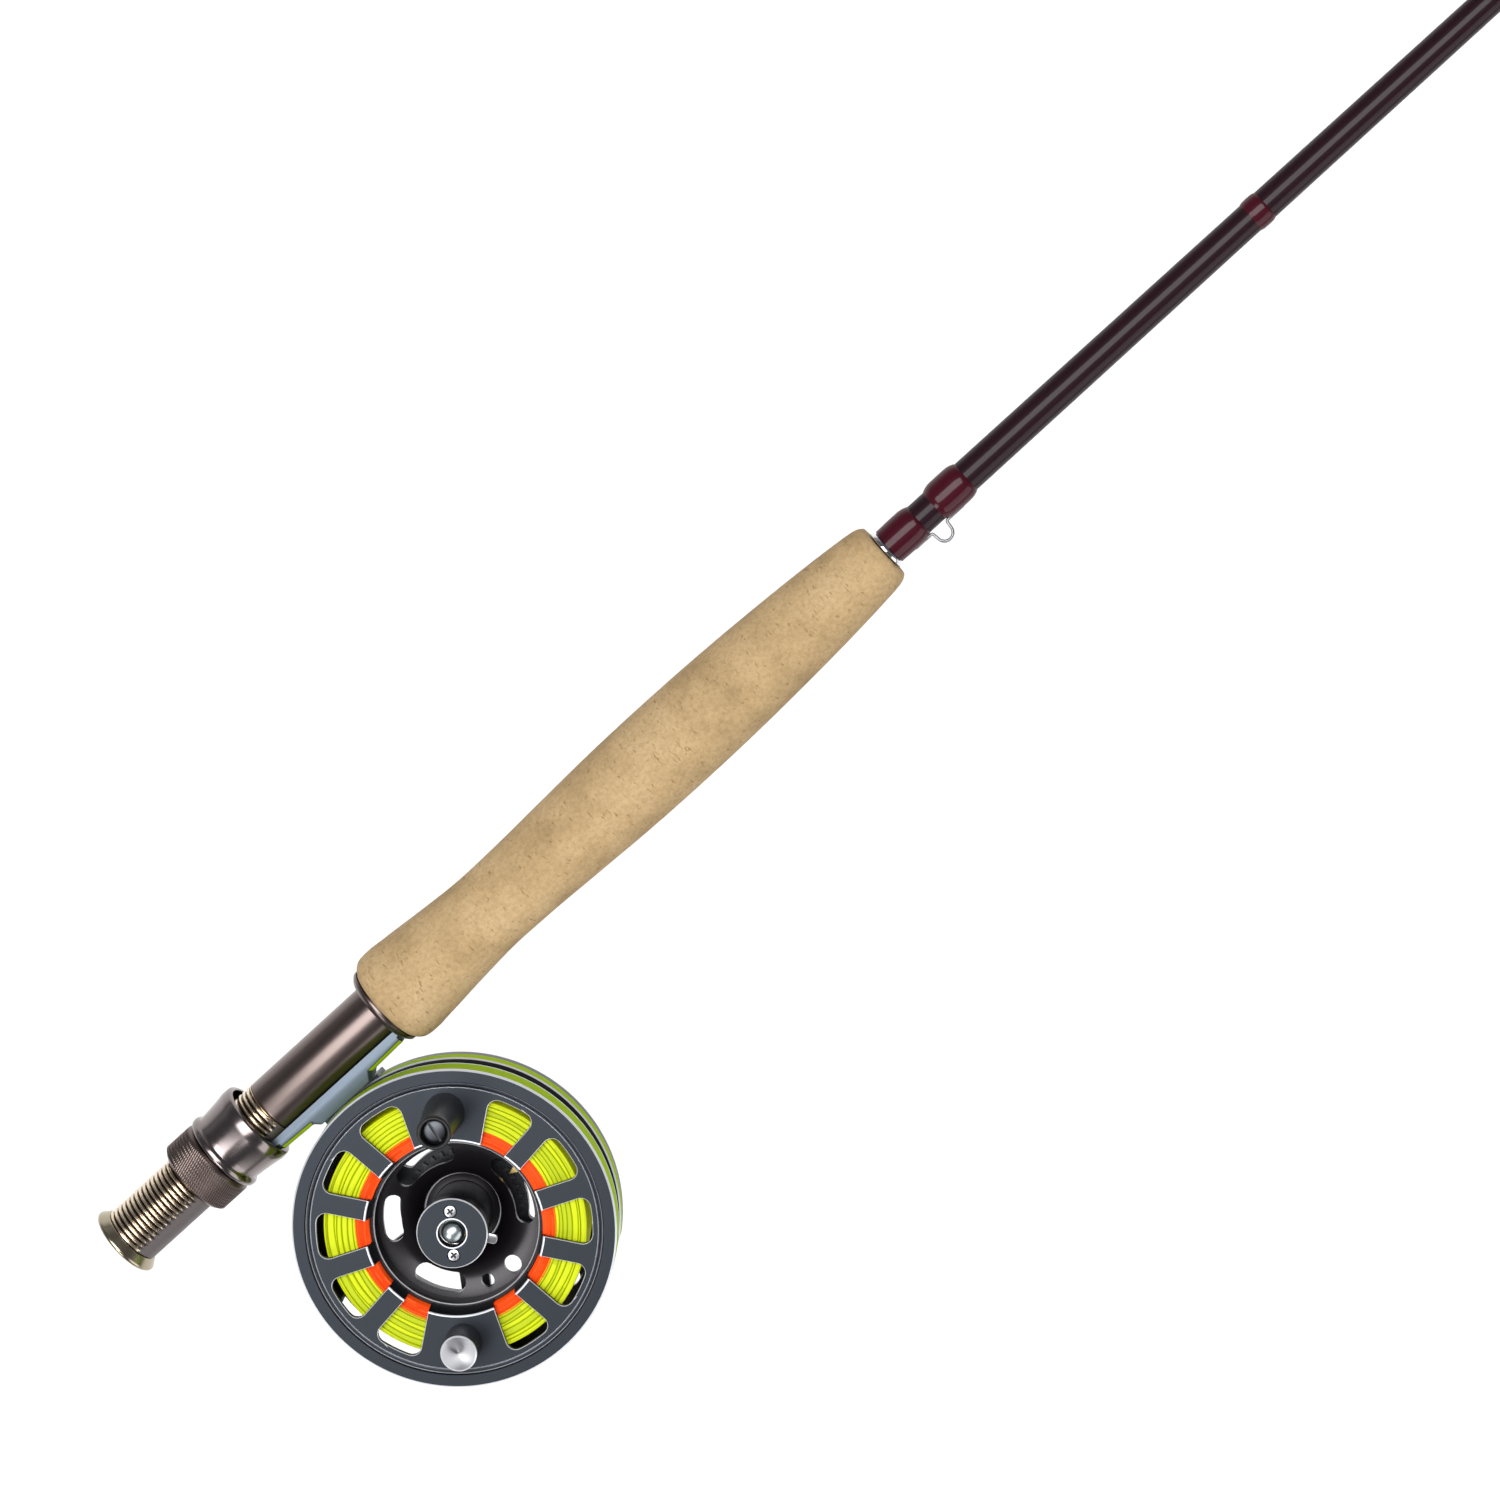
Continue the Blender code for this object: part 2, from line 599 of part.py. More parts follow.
def make_grip():
    """Half-wells cork: a flared rear end, a waist, a swell under the palm and a tapered nose."""
    start, end = SEAT_LENGTH, GRIP_END
    pocket = HOOD_BORE + 0.0007 + GAP
    pocket_end = FIXED_HOOD_START + FIXED_HOOD_LENGTH + GAP
    shares = [
        (0.000, FIXED_HOOD_RADIUS),
        (0.006, FIXED_HOOD_RADIUS + 0.0012),
        (0.022, FIXED_HOOD_RADIUS + 0.0020),
        (0.060, FIXED_HOOD_RADIUS + 0.00165),
        (0.130, 0.01235),
        (0.200, 0.01148),
        (0.270, 0.01155),
        (0.370, 0.01220),
        (0.480, 0.01290),
        (0.570, 0.01305),
        (0.680, 0.01280),
        (0.800, 0.01195),
        (0.900, 0.01085),
        (0.965, 0.00975),
        (0.990, 0.00920),
        (1.000, 0.00800),
    ]
    outer = [(radius, start + share * GRIP_LENGTH) for share, radius in shares]
    bore_end = blank_radius(end) + GAP
    bore_start = blank_radius(pocket_end) + GAP
    inner = [(bore_end, end), (bore_start, pocket_end), (pocket, pocket_end), (pocket, start)]
    turned("cork_grip", outer + inner, ROD, CORK, 28)
    check = [(bore_end, end + GAP), (0.0057, end + GAP), (0.0054, end + 0.0015)]
    check += [(bore_end, end + 0.0015)]
    turned("winding_check", check, ROD, CHROME, SMALL_SIDES)


def make_spool():
    rim = REEL_RADIUS
    skirt = rim - RIM_WALL
    step = rim - RIM_WIDTH
    face_back = -FACE_RECESS - FACE_THICKNESS
    rear = -SPOOL_WIDTH
    arbor_in = ARBOR_RADIUS - ARBOR_WALL
    profile = [(rim - 0.0004, 0), (rim, -0.0004), (rim, -SKIRT_DEPTH), (skirt, -SKIRT_DEPTH)]
    profile += [(skirt, face_back), (ARBOR_RADIUS, face_back)]
    profile += [(ARBOR_RADIUS, rear + REAR_FLANGE_THICKNESS)]
    profile += [(REAR_FLANGE_RADIUS, rear + REAR_FLANGE_THICKNESS), (REAR_FLANGE_RADIUS, rear)]
    profile += [(arbor_in, rear), (arbor_in, -BOWL_DEPTH - 2.2 * WEB_THICKNESS)]
    bends = 3
    under = []
    upper = []
    for bend in range(bends + 1):
        turn = math.pi / 2 * bend / bends
        radius = FLOOR_RADIUS + (arbor_in - FLOOR_RADIUS) * (1 - math.cos(turn))
        depth = BOWL_DEPTH + (FLOOR_DEPTH - BOWL_DEPTH) * (1 - math.sin(turn))
        upper.append((radius, -depth))
        under.append((radius + 0.5 * WEB_THICKNESS, -depth - 1.2 * WEB_THICKNESS))
    profile += [point for point in reversed(under) if point[0] < arbor_in]
    under_floor = -FLOOR_DEPTH - WEB_THICKNESS
    roof = -POST_TOP - POST_ROOF
    spindle_hole = SPINDLE_RADIUS + RUNNING_GAP
    profile += [(FLOOR_RADIUS, under_floor), (POST_BORE, under_floor), (POST_BORE, roof)]
    profile += [(spindle_hole, roof), (spindle_hole, -POST_TOP), (POST_RADIUS, -POST_TOP)]
    profile += [(POST_RADIUS, -FLOOR_DEPTH)]
    profile += upper
    profile += [(arbor_in, -FACE_RECESS - 0.0006), (arbor_in + 0.0005, -FACE_RECESS)]
    profile += [(step, -FACE_RECESS), (step + 0.0003, 0)]
    spool = turned("spool", profile, REEL, GUNMETAL, REEL_SIDES)

    pitch = WINDOW_PITCH
    azimuths = [HANDLE_AZIMUTH + k * pitch for k in range(12) if k not in (0, 6)]
    windows = [trapezoid(a, WINDOW_IN, WINDOW_OUT, pitch, SPOKE_WIDTH, 0.0016) for a in azimuths]
    front = prism("front_windows", windows, face_back - 0.0002, 0.0010, REEL, None, True)
    azimuths = [HANDLE_AZIMUTH + k * pitch for k in range(12)]
    low = BACKING_RADIUS + 0.0009
    windows = [trapezoid(a, low, WINDOW_OUT, pitch, SPOKE_WIDTH, 0.0016, 1) for a in azimuths]
    back = prism("rear_windows", windows, rear - 0.001, rear + 0.0025, REEL, None, True)
    middle = ARBOR_RADIUS - 0.0060
    slots = [kidney(-15, 24, middle, 0.0027), kidney(80, 20, middle, 0.0027)]
    slots += [kidney(139, 13, middle + 0.0004, 0.0024), kidney(-150, 14, middle + 0.0004, 0.0027)]
    slots += [circle(*polar(middle + 0.0011, -109), 0.0018), circle(*polar(middle + 0.0014, -84), 0.0024)]
    web = prism("web_slots", slots, rear - 0.003, -BOWL_DEPTH + 0.001, REEL, None, True)
    pads = ((HANDLE_RADIUS, HANDLE_AZIMUTH), (WEIGHT_RADIUS, HANDLE_AZIMUTH + 180))
    holes = [circle(*polar(radius, azimuth), 0.0016) for radius, azimuth in pads]
    posts = prism("pad_holes", holes, face_back - 0.001, 0.001, REEL, None, True)
    screws = [circle(*polar(CAP_SCREW_RADIUS, HANDLE_AZIMUTH + turn), 0.0008, 8) for turn in (0, 180)]
    bosses = prism("cap_screw_holes", screws, -POST_TOP - 0.0021, 0.001, REEL, None, True)
    cut(spool, front, back, web, posts, bosses)


def make_line():
    low = -SPOOL_WIDTH + REAR_FLANGE_THICKNESS + GAP
    high = -FACE_RECESS - FACE_THICKNESS - GAP
    inner = ARBOR_RADIUS + GAP
    ring("backing", inner, BACKING_RADIUS, low, high, REEL, BACKING, REEL_SIDES)
    ring("fly_line", BACKING_RADIUS + GAP, LINE_RADIUS, low, high, REEL, LINE, REEL_SIDES)


def make_frame():
    """A back plate with a rim ring round it and a cup for the drag at its middle."""
    rim = REEL_RADIUS
    inner = rim - RIM_WALL
    front, plate, back = -FRAME_FRONT, -FRAME_DEPTH + PLATE_THICKNESS, -FRAME_DEPTH
    round_edge = 0.0040
    profile = [(inner, front), (rim - 0.0004, front), (rim, front - 0.0004)]
    for bend in range(5):
        turn = math.pi / 2 * bend / 4
        radius = rim - round_edge * (1 - math.cos(turn))
        profile.append((radius, back + round_edge * (1 - math.sin(turn))))
    profile += [(CUP_RADIUS, back), (CUP_RADIUS - 0.0008, -CUP_BACK)]
    profile += [(SPINDLE_RADIUS + GAP, -CUP_BACK), (SPINDLE_RADIUS + GAP, -CUP_BACK + CUP_FLOOR)]
    profile += [(CUP_BORE, -CUP_BACK + CUP_FLOOR), (CUP_BORE, plate), (inner, plate)]
    frame = turned("reel_frame", profile, REEL, GUNMETAL, REEL_SIDES)

    pad_size = (2 * STEM_HALF_LENGTH, PAD_THICKNESS, 0.0100)
    pad_y = STEM_BACK + GAP + pad_size[1] / 2
    pad_z = RIM_FRONT_Z - FRAME_FRONT - 0.0007 - pad_size[2] / 2
    pad = block("foot_pad", pad_size, Matrix.Translation((REEL_X, -pad_y, pad_z)), None, True)
    low, high = CUP_RADIUS + 0.0018, rim - 0.0060
    windows = [trapezoid(-35 + 60 * k, low, high, 60, 0.0080, 0.0022) for k in range(6)]
    ports = prism("plate_windows", windows, back - 0.001, plate + 0.001, REEL, None, True)
    line_exit = sector("line_exit", -88, -50, rim - 0.0030, rim + 0.0025, front - 0.0092, front + 0.002)
    rear_exit = sector("rear_exit", -185, -140, rim - 0.0043, rim + 0.0025, back - 0.001, front + 0.002)
    join(frame, pad)
    cut(frame, ports, line_exit, rear_exit)
    for side in (-1, 1):
        cut(frame, foot_screw("screw_seat", side, 0.00015, None, True))
    pin = on_reel(PAWL_RADIUS, PAWL_AZIMUTH)
    cut(frame, turned("pin_hole", [(0, plate + 0.001), (0.0013, plate + 0.001), (0.0013, back + 0.0008),
                                   (0, back + 0.0008)], pin, None, 12, True))


def sector(name, first, last, inner, outer, low, high):
    """A cutter through part of a ring, between two azimuths."""
    steps = 6
    angles = [first + (last - first) * k / steps for k in range(steps + 1)]
    outline = [polar(outer, a) for a in angles] + [polar(inner, a) for a in reversed(angles)]
    return prism(name, [outline], low, high, REEL, None, True)


def foot_screw(name, side, clearance, look, cutter=False):
    """A countersunk screw from inside the frame's ring up into the foot."""
    head_y = -STEM_BACK - GAP - PAD_THICKNESS + 0.0001
    middle_z = RIM_FRONT_Z - FRAME_FRONT - 0.0027
    place = Matrix.Translation((REEL_X + side * FOOT_SCREW_X, head_y, middle_z)) @ ALONG_Y
    shank = 0.0010 + clearance
    head = 0.0021 + clearance
    below = -0.0020 if cutter else 0.0
    profile = [(0, below), (head, below), (head, 0.0004), (shank, 0.0015), (shank, 0.0052)]
    profile += [(0, 0.0052)]
    if cutter:
        profile[-2:] = [(shank, 0.0056), (0, 0.0056)]
    return turned(name, profile, place, look, 12, cutter)


def make_foot():
    """The stand: a saddle on the barrel, its two tapering legs held by the hoods."""
    stem = STEM_HALF_LENGTH
    left, right = REEL_X - stem, REEL_X + stem
    tip_y, root_y, top_y = THREAD_RADIUS + 0.0004, THREAD_RADIUS + 0.0011, THREAD_RADIUS - 0.0034
    draft, side_draft = 0.0011, 0.0017
    outline = [
        (FOOT_START + draft, -top_y),
        (FOOT_START + draft, -tip_y),
        (left - 0.0006, -root_y),
        (left + draft, -STEM_BACK + draft),
        (right - draft, -STEM_BACK + draft),
        (right + 0.0006, -root_y),
        (FOOT_END - draft, -tip_y),
        (FOOT_END - draft, -top_y),
    ]
    curve = bpy.data.curves.new("reel_foot", "CURVE")
    curve.dimensions = "2D"
    curve.fill_mode = "BOTH"
    widen = side_draft / draft
    curve.extrude = (FOOT_HALF_WIDTH - side_draft) / widen
    curve.bevel_depth = draft
    curve.bevel_resolution = 0
    spline = curve.splines.new("POLY")
    spline.points.add(len(outline) - 1)
    spline.use_cyclic_u = True
    for point, (x, y) in zip(spline.points, outline):
        point.co = (x, y, 0, 1)
    flat = bpy.data.objects.new("reel_foot", curve)
    CUTTERS.objects.link(flat)
    bpy.context.view_layer.update()
    mesh = mesh_of(flat)
    mesh.transform(Matrix.Diagonal((1, 1, widen, 1)))
    foot = add("reel_foot", mesh, Matrix.Identity(4), FOOT_GREY)
    before, after = LOCK_RING_START, FOOT_END + 0.015
    saddle = turned("saddle", [(0, before), (THREAD_RADIUS + GAP, before), (THREAD_RADIUS + GAP, after),
                               (0, after)], ROD, None, 32, True)
    held = HOOD_BORE - GAP
    hood_end = LOCK_RING_START + LOCK_RING_LENGTH + GAP + HOOD_LENGTH
    low = ring("rear_trim", held, 0.03, before, hood_end + 0.0008, ROD, None, 32, True)
    high = ring("front_trim", held, 0.03, FIXED_HOOD_START - 0.0008, after, ROD, None, 32, True)
    cut(foot, saddle, low, high)
    for side in (-1, 1):
        cut(foot, foot_screw("screw_thread", side, 0.00015, None, True))
        foot_screw(f"foot_screw_{(side + 3) // 2}", side, 0.0, CHROME)


def make_spindle_and_drag():
    top = HUB_CAP_TOP + 0.0006
    groove_low, groove_high = -0.0007, 0.0011
    core = SPINDLE_CORE
    dome = [(SPINDLE_RADIUS * math.cos(math.radians(a)),
             top - 0.0014 + 0.0014 * math.sin(math.radians(a))) for a in (0, 30, 60)]
    spindle = [(0, top)] + dome[::-1] + [(SPINDLE_RADIUS, groove_high), (core, groove_high)]
    spindle += [(core, groove_low), (SPINDLE_RADIUS, groove_low), (SPINDLE_RADIUS, -CUP_BACK - 0.0050)]
    spindle += [(0, -CUP_BACK - 0.0050)]
    turned("spindle", spindle, REEL, CHROME, SMALL_SIDES)

    bore = SPINDLE_RADIUS + RUNNING_GAP
    cup_floor = -CUP_BACK + CUP_FLOOR
    loose, brim = SPINDLE_RADIUS + 0.0014, CUP_BORE - 0.0035
    washer = [(loose, cup_floor + GAP), (loose + 0.0007, cup_floor + GAP), (brim, cup_floor + 0.0013)]
    washer += [(brim, cup_floor + 0.0018), (brim - 0.0007, cup_floor + 0.0018), (loose, cup_floor + 0.0008)]
    turned("spring_washer", washer, REEL, CHROME)
    plate = cup_floor + 0.0021
    ring("pressure_plate", bore, CUP_BORE - 0.0007, plate, plate + 0.0013, REEL, CHROME)
    disc = plate + 0.0013 + 0.0010
    ring("drag_disc", loose, CUP_BORE - 0.0007, disc, disc + 0.0010, REEL, FRICTION)

    hub_low = disc + 0.0010 + GAP
    flange_top = -FLOOR_DEPTH - WEB_THICKNESS - GAP
    plate_front = -FRAME_DEPTH + PLATE_THICKNESS + GAP
    neck_in, neck_out, neck_top = NECK_BORE, NECK_RADIUS, -0.0125
    drum = CUP_BORE - 0.0005
    profile = [(neck_in, neck_top), (neck_out, neck_top), (neck_out, flange_top)]
    profile += [(GEAR_ROOT, flange_top), (GEAR_ROOT, plate_front), (drum, plate_front)]
    profile += [(drum, hub_low), (neck_in, hub_low)]
    hub = turned("drive_hub", profile, REEL, BLACK_ALLOY, GEAR_TEETH)
    tooth_half = 360 / GEAR_TEETH / 4
    teeth = []
    for tooth in range(GEAR_TEETH):
        middle = PAWL_AZIMUTH + (tooth + 0.5) * 360 / GEAR_TEETH
        teeth.append([polar(GEAR_ROOT - 0.0006, middle - tooth_half), polar(GEAR_RADIUS, middle - 1.2),
                      polar(GEAR_RADIUS, middle + 1.2), polar(GEAR_ROOT - 0.0006, middle + tooth_half)])
    join(hub, prism("click_teeth", teeth, plate_front + 0.00005, flange_top - 0.00005, REEL, None, True))
    ring("clutch_bearing", bore, neck_in - RUNNING_GAP, hub_low + 0.001, neck_top - 0.001, REEL, CHROME)
    ring("spindle_clip", bore - 0.00005, bore + 0.0015, neck_top + GAP, neck_top + 0.0010, REEL, CHROME, 16)
    roof = -POST_TOP - POST_ROOF
    ring("spool_bearing", bore, POST_BORE - RUNNING_GAP, roof - 0.0042, roof - GAP, REEL, BRASS)

    knob_top = -CUP_BACK - GAP
    hole = SPINDLE_RADIUS + 0.0005
    knob = [(hole, knob_top), (0.0132, knob_top), (0.0138, knob_top - 0.0008)]
    knob += [(0.0138, knob_top - 0.0056), (0.0128, knob_top - 0.0066), (0, knob_top - 0.0066)]
    knob += [(0, knob_top - 0.0052), (hole, knob_top - 0.0052)]
    drag = turned("drag_knob", knob, REEL, BLACK_ALLOY, 32)
    grips = [circle(*polar(0.0150, 22.5 + 45 * k), 0.0022, 10) for k in range(8)]
    cut(drag, prism("knob_flutes", grips, knob_top - 0.008, knob_top + 0.001, REEL, None, True))


def make_click():
    """The pawl that the hub's teeth lift, its pin and the leaf spring behind it."""
    plate = -FRAME_DEPTH + PLATE_THICKNESS
    here = on_reel(PAWL_RADIUS, PAWL_AZIMUTH)
    pin_top = -FRAME_DEPTH + 0.0080
    pin = [(0, pin_top), (0.0011, pin_top), (0.0011, -FRAME_DEPTH + 0.0011), (0, -FRAME_DEPTH + 0.0011)]
    turned("pawl_pin", pin, here, CHROME, 12)
    tip = -(PAWL_RADIUS - GEAR_ROOT - 0.0005)
    outline = [(tip, 0), (tip + 0.0012, -0.0005), (-0.0019, -0.0013), (0.0006, -0.0022),
               (0.0022, -0.0006), (0.0022, 0.0006), (0.0006, 0.0022), (-0.0019, 0.0013),
               (tip + 0.0012, 0.0005)]
    pawl = prism("click_pawl", [outline], plate + GAP, plate + 0.0014, here, BRASS)
    bore = [(0, 0), (0.0013, 0), (0.0013, -CUP_BACK), (0, -CUP_BACK)]
    hole = turned("pawl_bore", bore, here, None, 12, True)
    cut(pawl, hole)
    leaf = block("pawl_spring", (0.0004, 0.0080, 0.0012), on_reel(PAWL_RADIUS + 0.0028, PAWL_AZIMUTH,
                 -plate - GAP - 0.0006), CHROME)
    return leaf


def make_cap_and_latch():
    """The hub cap, and under it the sprung latch whose edge sits in the spindle's groove."""
    skirt_in, skirt_low = HUB_CAP_RADIUS - 0.0008, -0.0006
    underside = 0.0010
    opening = SPINDLE_RADIUS + 0.0007
    cap = [(opening, HUB_CAP_TOP), (HUB_CAP_RADIUS - 0.0004, HUB_CAP_TOP)]
    cap += [(HUB_CAP_RADIUS, HUB_CAP_TOP - 0.0004), (HUB_CAP_RADIUS, skirt_low)]
    cap += [(skirt_in, skirt_low), (skirt_in, underside), (opening, underside)]
    hub_cap = turned("hub_cap", cap, REEL, GUNMETAL, SMALL_SIDES)
    along = REEL @ Matrix.Rotation(math.radians(LATCH_AZIMUTH), 4, "Z")
    notch_place = along @ Matrix.Translation((HUB_CAP_RADIUS, 0, 0.0001))
    notch = block("latch_notch", (0.0060, 0.0040, 0.0018), notch_place, None, True)
    seats = []
    for side in (0, 180):
        place = on_reel(CAP_SCREW_RADIUS, HANDLE_AZIMUTH + side)
        seat = [(0, HUB_CAP_TOP + 0.001), (0.0018, HUB_CAP_TOP + 0.001), (0.0018, HUB_CAP_TOP - 0.0011)]
        seat += [(0.0008, HUB_CAP_TOP - 0.0011), (0.0008, -0.001), (0, -0.001)]
        seats.append(turned("screw_seat", seat, place, None, 12, True))
        screw = [(0, HUB_CAP_TOP + 0.0001), (0.0012, HUB_CAP_TOP + 0.0001), (0.0016, HUB_CAP_TOP - 0.0003)]
        screw += [(0.0016, HUB_CAP_TOP - 0.0009), (0.0006, HUB_CAP_TOP - 0.0009)]
        screw += [(0.0006, -POST_TOP - 0.0018), (0, -POST_TOP - 0.0018)]
        turned(f"cap_screw_{1 + side // 180}", screw, place, CHROME, 12)
    cut(hub_cap, notch, *seats)

    latch_low, latch_high = -POST_TOP + GAP, underside - GAP
    width, tab, edge = SPINDLE_RADIUS + 0.0012, 0.0013, HUB_CAP_RADIUS
    tail, heel, shoulder = SPINDLE_RADIUS + 0.0031, SPINDLE_RADIUS + 0.0014, SPINDLE_RADIUS + 0.0021
    half = [(shoulder, width), (edge - 0.0024, tab), (edge + 0.0017, tab), (edge + 0.0023, 0.0007)]
    plate = [(-tail, -0.0030), (-heel, -width)] + [(x, -y) for x, y in half]
    plate += half[::-1] + [(-heel, width), (-tail, 0.0030)]
    latch = prism("latch_lever", [plate], latch_low, latch_high, along, GUNMETAL)
    wide, bite = SPINDLE_RADIUS + 0.00025, SPINDLE_CORE + 0.00015 - 0.0004
    hole = [polar(wide, a) for a in range(-90, 91, 30)]
    hole = [(x + 0.00105, y) for x, y in hole]
    hole += [(-0.0004 + bite * math.cos(math.radians(a)), wide * math.sin(math.radians(a)))
             for a in range(90, 271, 30)]
    cut(latch, prism("keyhole", [hole], latch_low - 0.001, latch_high + 0.001, along, None, True))
    coil = []
    turns, steps = 2, 7
    for step in range(turns * steps + 1):
        angle = 2 * math.pi * step / steps
        out = -edge + 0.0021 + 0.0007 * step / (turns * steps)
        local = (out, 0.00032 * math.cos(angle), 0.00032 * math.sin(angle))
        coil.append(along @ Vector((local[0], local[1], local[2] + (latch_low + latch_high) / 2)))
    wire("latch_spring", coil, 0.00009, CHROME)


def make_handle():
    """The knob turns on a screw that is fixed to the spool, with a weight opposite."""
    face = -FACE_RECESS
    place = on_reel(HANDLE_RADIUS, HANDLE_AZIMUTH)
    bore = 0.0017
    low = face + GAP
    knob = [(bore, low), (0.0052, low), (0.0054, low + 0.0008), (0.0051, 0.0080), (0.0047, 0.0160)]
    knob += [(0.0046, KNOB_HEIGHT - 0.0006), (0.0042, KNOB_HEIGHT), (0.0037, KNOB_HEIGHT)]
    knob += [(0.0034, KNOB_HEIGHT - 0.0028), (bore, KNOB_HEIGHT - 0.0028)]
    turned("handle_knob", knob, place, BLACK_PLASTIC, SMALL_SIDES)
    head = KNOB_HEIGHT - 0.0028 + GAP
    pin = [(0, head + 0.0010), (0.0024, head + 0.0010), (0.0031, head + 0.0004), (0.0031, head)]
    pin += [(bore - RUNNING_GAP, head), (bore - RUNNING_GAP, low), (0.0014, face)]
    pin += [(0.0014, face - FACE_THICKNESS), (0, face - FACE_THICKNESS)]
    turned("handle_pin", pin, place, CHROME, SMALL_SIDES)
    place = on_reel(WEIGHT_RADIUS, HANDLE_AZIMUTH + 180)
    weight = [(0, WEIGHT_HEIGHT), (0.0045, WEIGHT_HEIGHT), (0.0049, WEIGHT_HEIGHT - 0.0004)]
    weight += [(0.0049, low), (0.0017, low), (0.0017, low + 0.0060), (0, low + 0.0060)]
    turned("counterweight", weight, place, CHROME, SMALL_SIDES)
    rivet = [(0, low + 0.0056), (0.0013, low + 0.0056), (0.0013, face - FACE_THICKNESS)]
    rivet += [(0, face - FACE_THICKNESS)]
    turned("weight_stud", rivet, place, CHROME, 12)


make_seat()
make_grip()
make_blanks()
make_keeper()
make_stripping_guide()
make_snakes()
make_tip_top()
make_foot()
make_frame()
make_spool()
make_line()
make_spindle_and_drag()
make_click()
make_cap_and_latch()
make_handle()
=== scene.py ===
import math

import bmesh
import bpy
import numpy as np
from mathutils import Matrix, Vector


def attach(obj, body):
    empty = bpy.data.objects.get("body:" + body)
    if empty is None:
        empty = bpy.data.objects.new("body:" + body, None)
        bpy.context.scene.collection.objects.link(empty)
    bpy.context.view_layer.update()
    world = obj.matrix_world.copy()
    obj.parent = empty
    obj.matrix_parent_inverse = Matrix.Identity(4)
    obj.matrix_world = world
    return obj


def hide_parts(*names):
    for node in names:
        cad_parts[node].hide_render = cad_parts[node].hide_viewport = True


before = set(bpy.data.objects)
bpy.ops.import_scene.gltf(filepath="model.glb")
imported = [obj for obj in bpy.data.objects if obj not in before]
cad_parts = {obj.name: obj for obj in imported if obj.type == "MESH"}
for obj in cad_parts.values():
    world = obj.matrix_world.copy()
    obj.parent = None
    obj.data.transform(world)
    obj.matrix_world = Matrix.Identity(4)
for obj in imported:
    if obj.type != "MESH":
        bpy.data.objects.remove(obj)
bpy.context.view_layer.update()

MM = 0.001
# Where the reel's axis stands, in millimetres: along the rod, across it, and the height of the rim's face
REEL_X, REEL_Y, RIM_Z = 73.0, -55.8, 14.0
REEL = Matrix.Translation((REEL_X * MM, REEL_Y * MM, RIM_Z * MM))
ROD = Matrix.Rotation(math.pi / 2, 4, "Y")
HANDLE_AZ = 51.5
LATCH_AZ = -55.0

# Spool
RIM_R = 43.5
INNER_RIM_R = 41.3
HANDLE_R, WEIGHT_R, CAP_SCREW_R = 31.6, 31.0, 5.95
SPOKES = 12
SPOKE_PITCH = 30
SPOKE_WIDTH = 5.5
SPOKE_END_R = 24.1
SOLID_SPACES = (0, 6)
LINE_BACK = -20.8

# Seat
THREAD_PITCH, THREAD_CREST, THREAD_DEPTH = 1.5, 8.4, 0.75
SEAT_BORE = 5.1
RING_START, RING_END, RING_BORE = 26.5, 36.5, 8.7
RIDGES = 96
RIDGE_LEAD = 2.1

# Grip and blank
GRIP_START, GRIP_LENGTH = 98.5, 180.0
TIP_END = 2743.0
SECTION_STARTS = [668.0, 1350.0, 2032.0]
SECTION_BODIES = ["rod_butt", "section_2", "section_3", "section_4"]
SLEEVE_LENGTH = 45.0
BORE_SHARE = 0.74
TAPER = [(8.5, 4.75), (280.5, 4.50), (307.5, 4.45), (490.0, 3.98), (700.0, 3.42), (1380.0, 2.45), (2060.0, 1.60)]
TAPER += [(2743.0, 0.88)]


# Materials

def shader(name, colour, rough, metal=0.0, coat=0.0, coat_rough=0.05, specular=0.5):
    made = bpy.data.materials.new(name)
    made.use_nodes = True
    node = made.node_tree.nodes["Principled BSDF"]
    node.inputs["Base Color"].default_value = (*colour, 1)
    node.inputs["Roughness"].default_value = rough
    node.inputs["Metallic"].default_value = metal
    node.inputs["Coat Weight"].default_value = coat
    node.inputs["Coat Roughness"].default_value = coat_rough
    node.inputs["Specular IOR Level"].default_value = specular
    return made


def tree(material):
    nodes, links = material.node_tree.nodes, material.node_tree.links
    return nodes, links, nodes["Principled BSDF"]


def add_node(nodes, kind, **values):
    node = nodes.new(kind)
    for key, value in values.items():
        node.inputs[key].default_value = value
    return node


def ramp(nodes, stops):
    node = nodes.new("ShaderNodeValToRGB")
    while len(node.color_ramp.elements) < len(stops):
        node.color_ramp.elements.new(0.5)
    for element, (place, colour) in zip(node.color_ramp.elements, stops):
        element.position = place
        element.color = (*colour, 1)
    return node


def coordinates(nodes, links, scale=(1, 1, 1)):
    place = nodes.new("ShaderNodeTexCoord")
    mapping = nodes.new("ShaderNodeMapping")
    mapping.inputs["Scale"].default_value = scale
    links.new(place.outputs["Object"], mapping.inputs["Vector"])
    return mapping


def texture(nodes, links, place, kind, **values):
    node = add_node(nodes, kind, **values)
    links.new(place.outputs[0], node.inputs["Vector"])
    return node


def ramped(nodes, links, source, stops):
    node = ramp(nodes, stops)
    links.new(source, node.inputs["Fac"])
    return node


def math_node(nodes, links, operation, *sources):
    node = nodes.new("ShaderNodeMath")
    node.operation = operation
    for socket, source in zip(node.inputs, sources):
        if isinstance(source, float):
            socket.default_value = source
        else:
            links.new(source, socket)
    return node


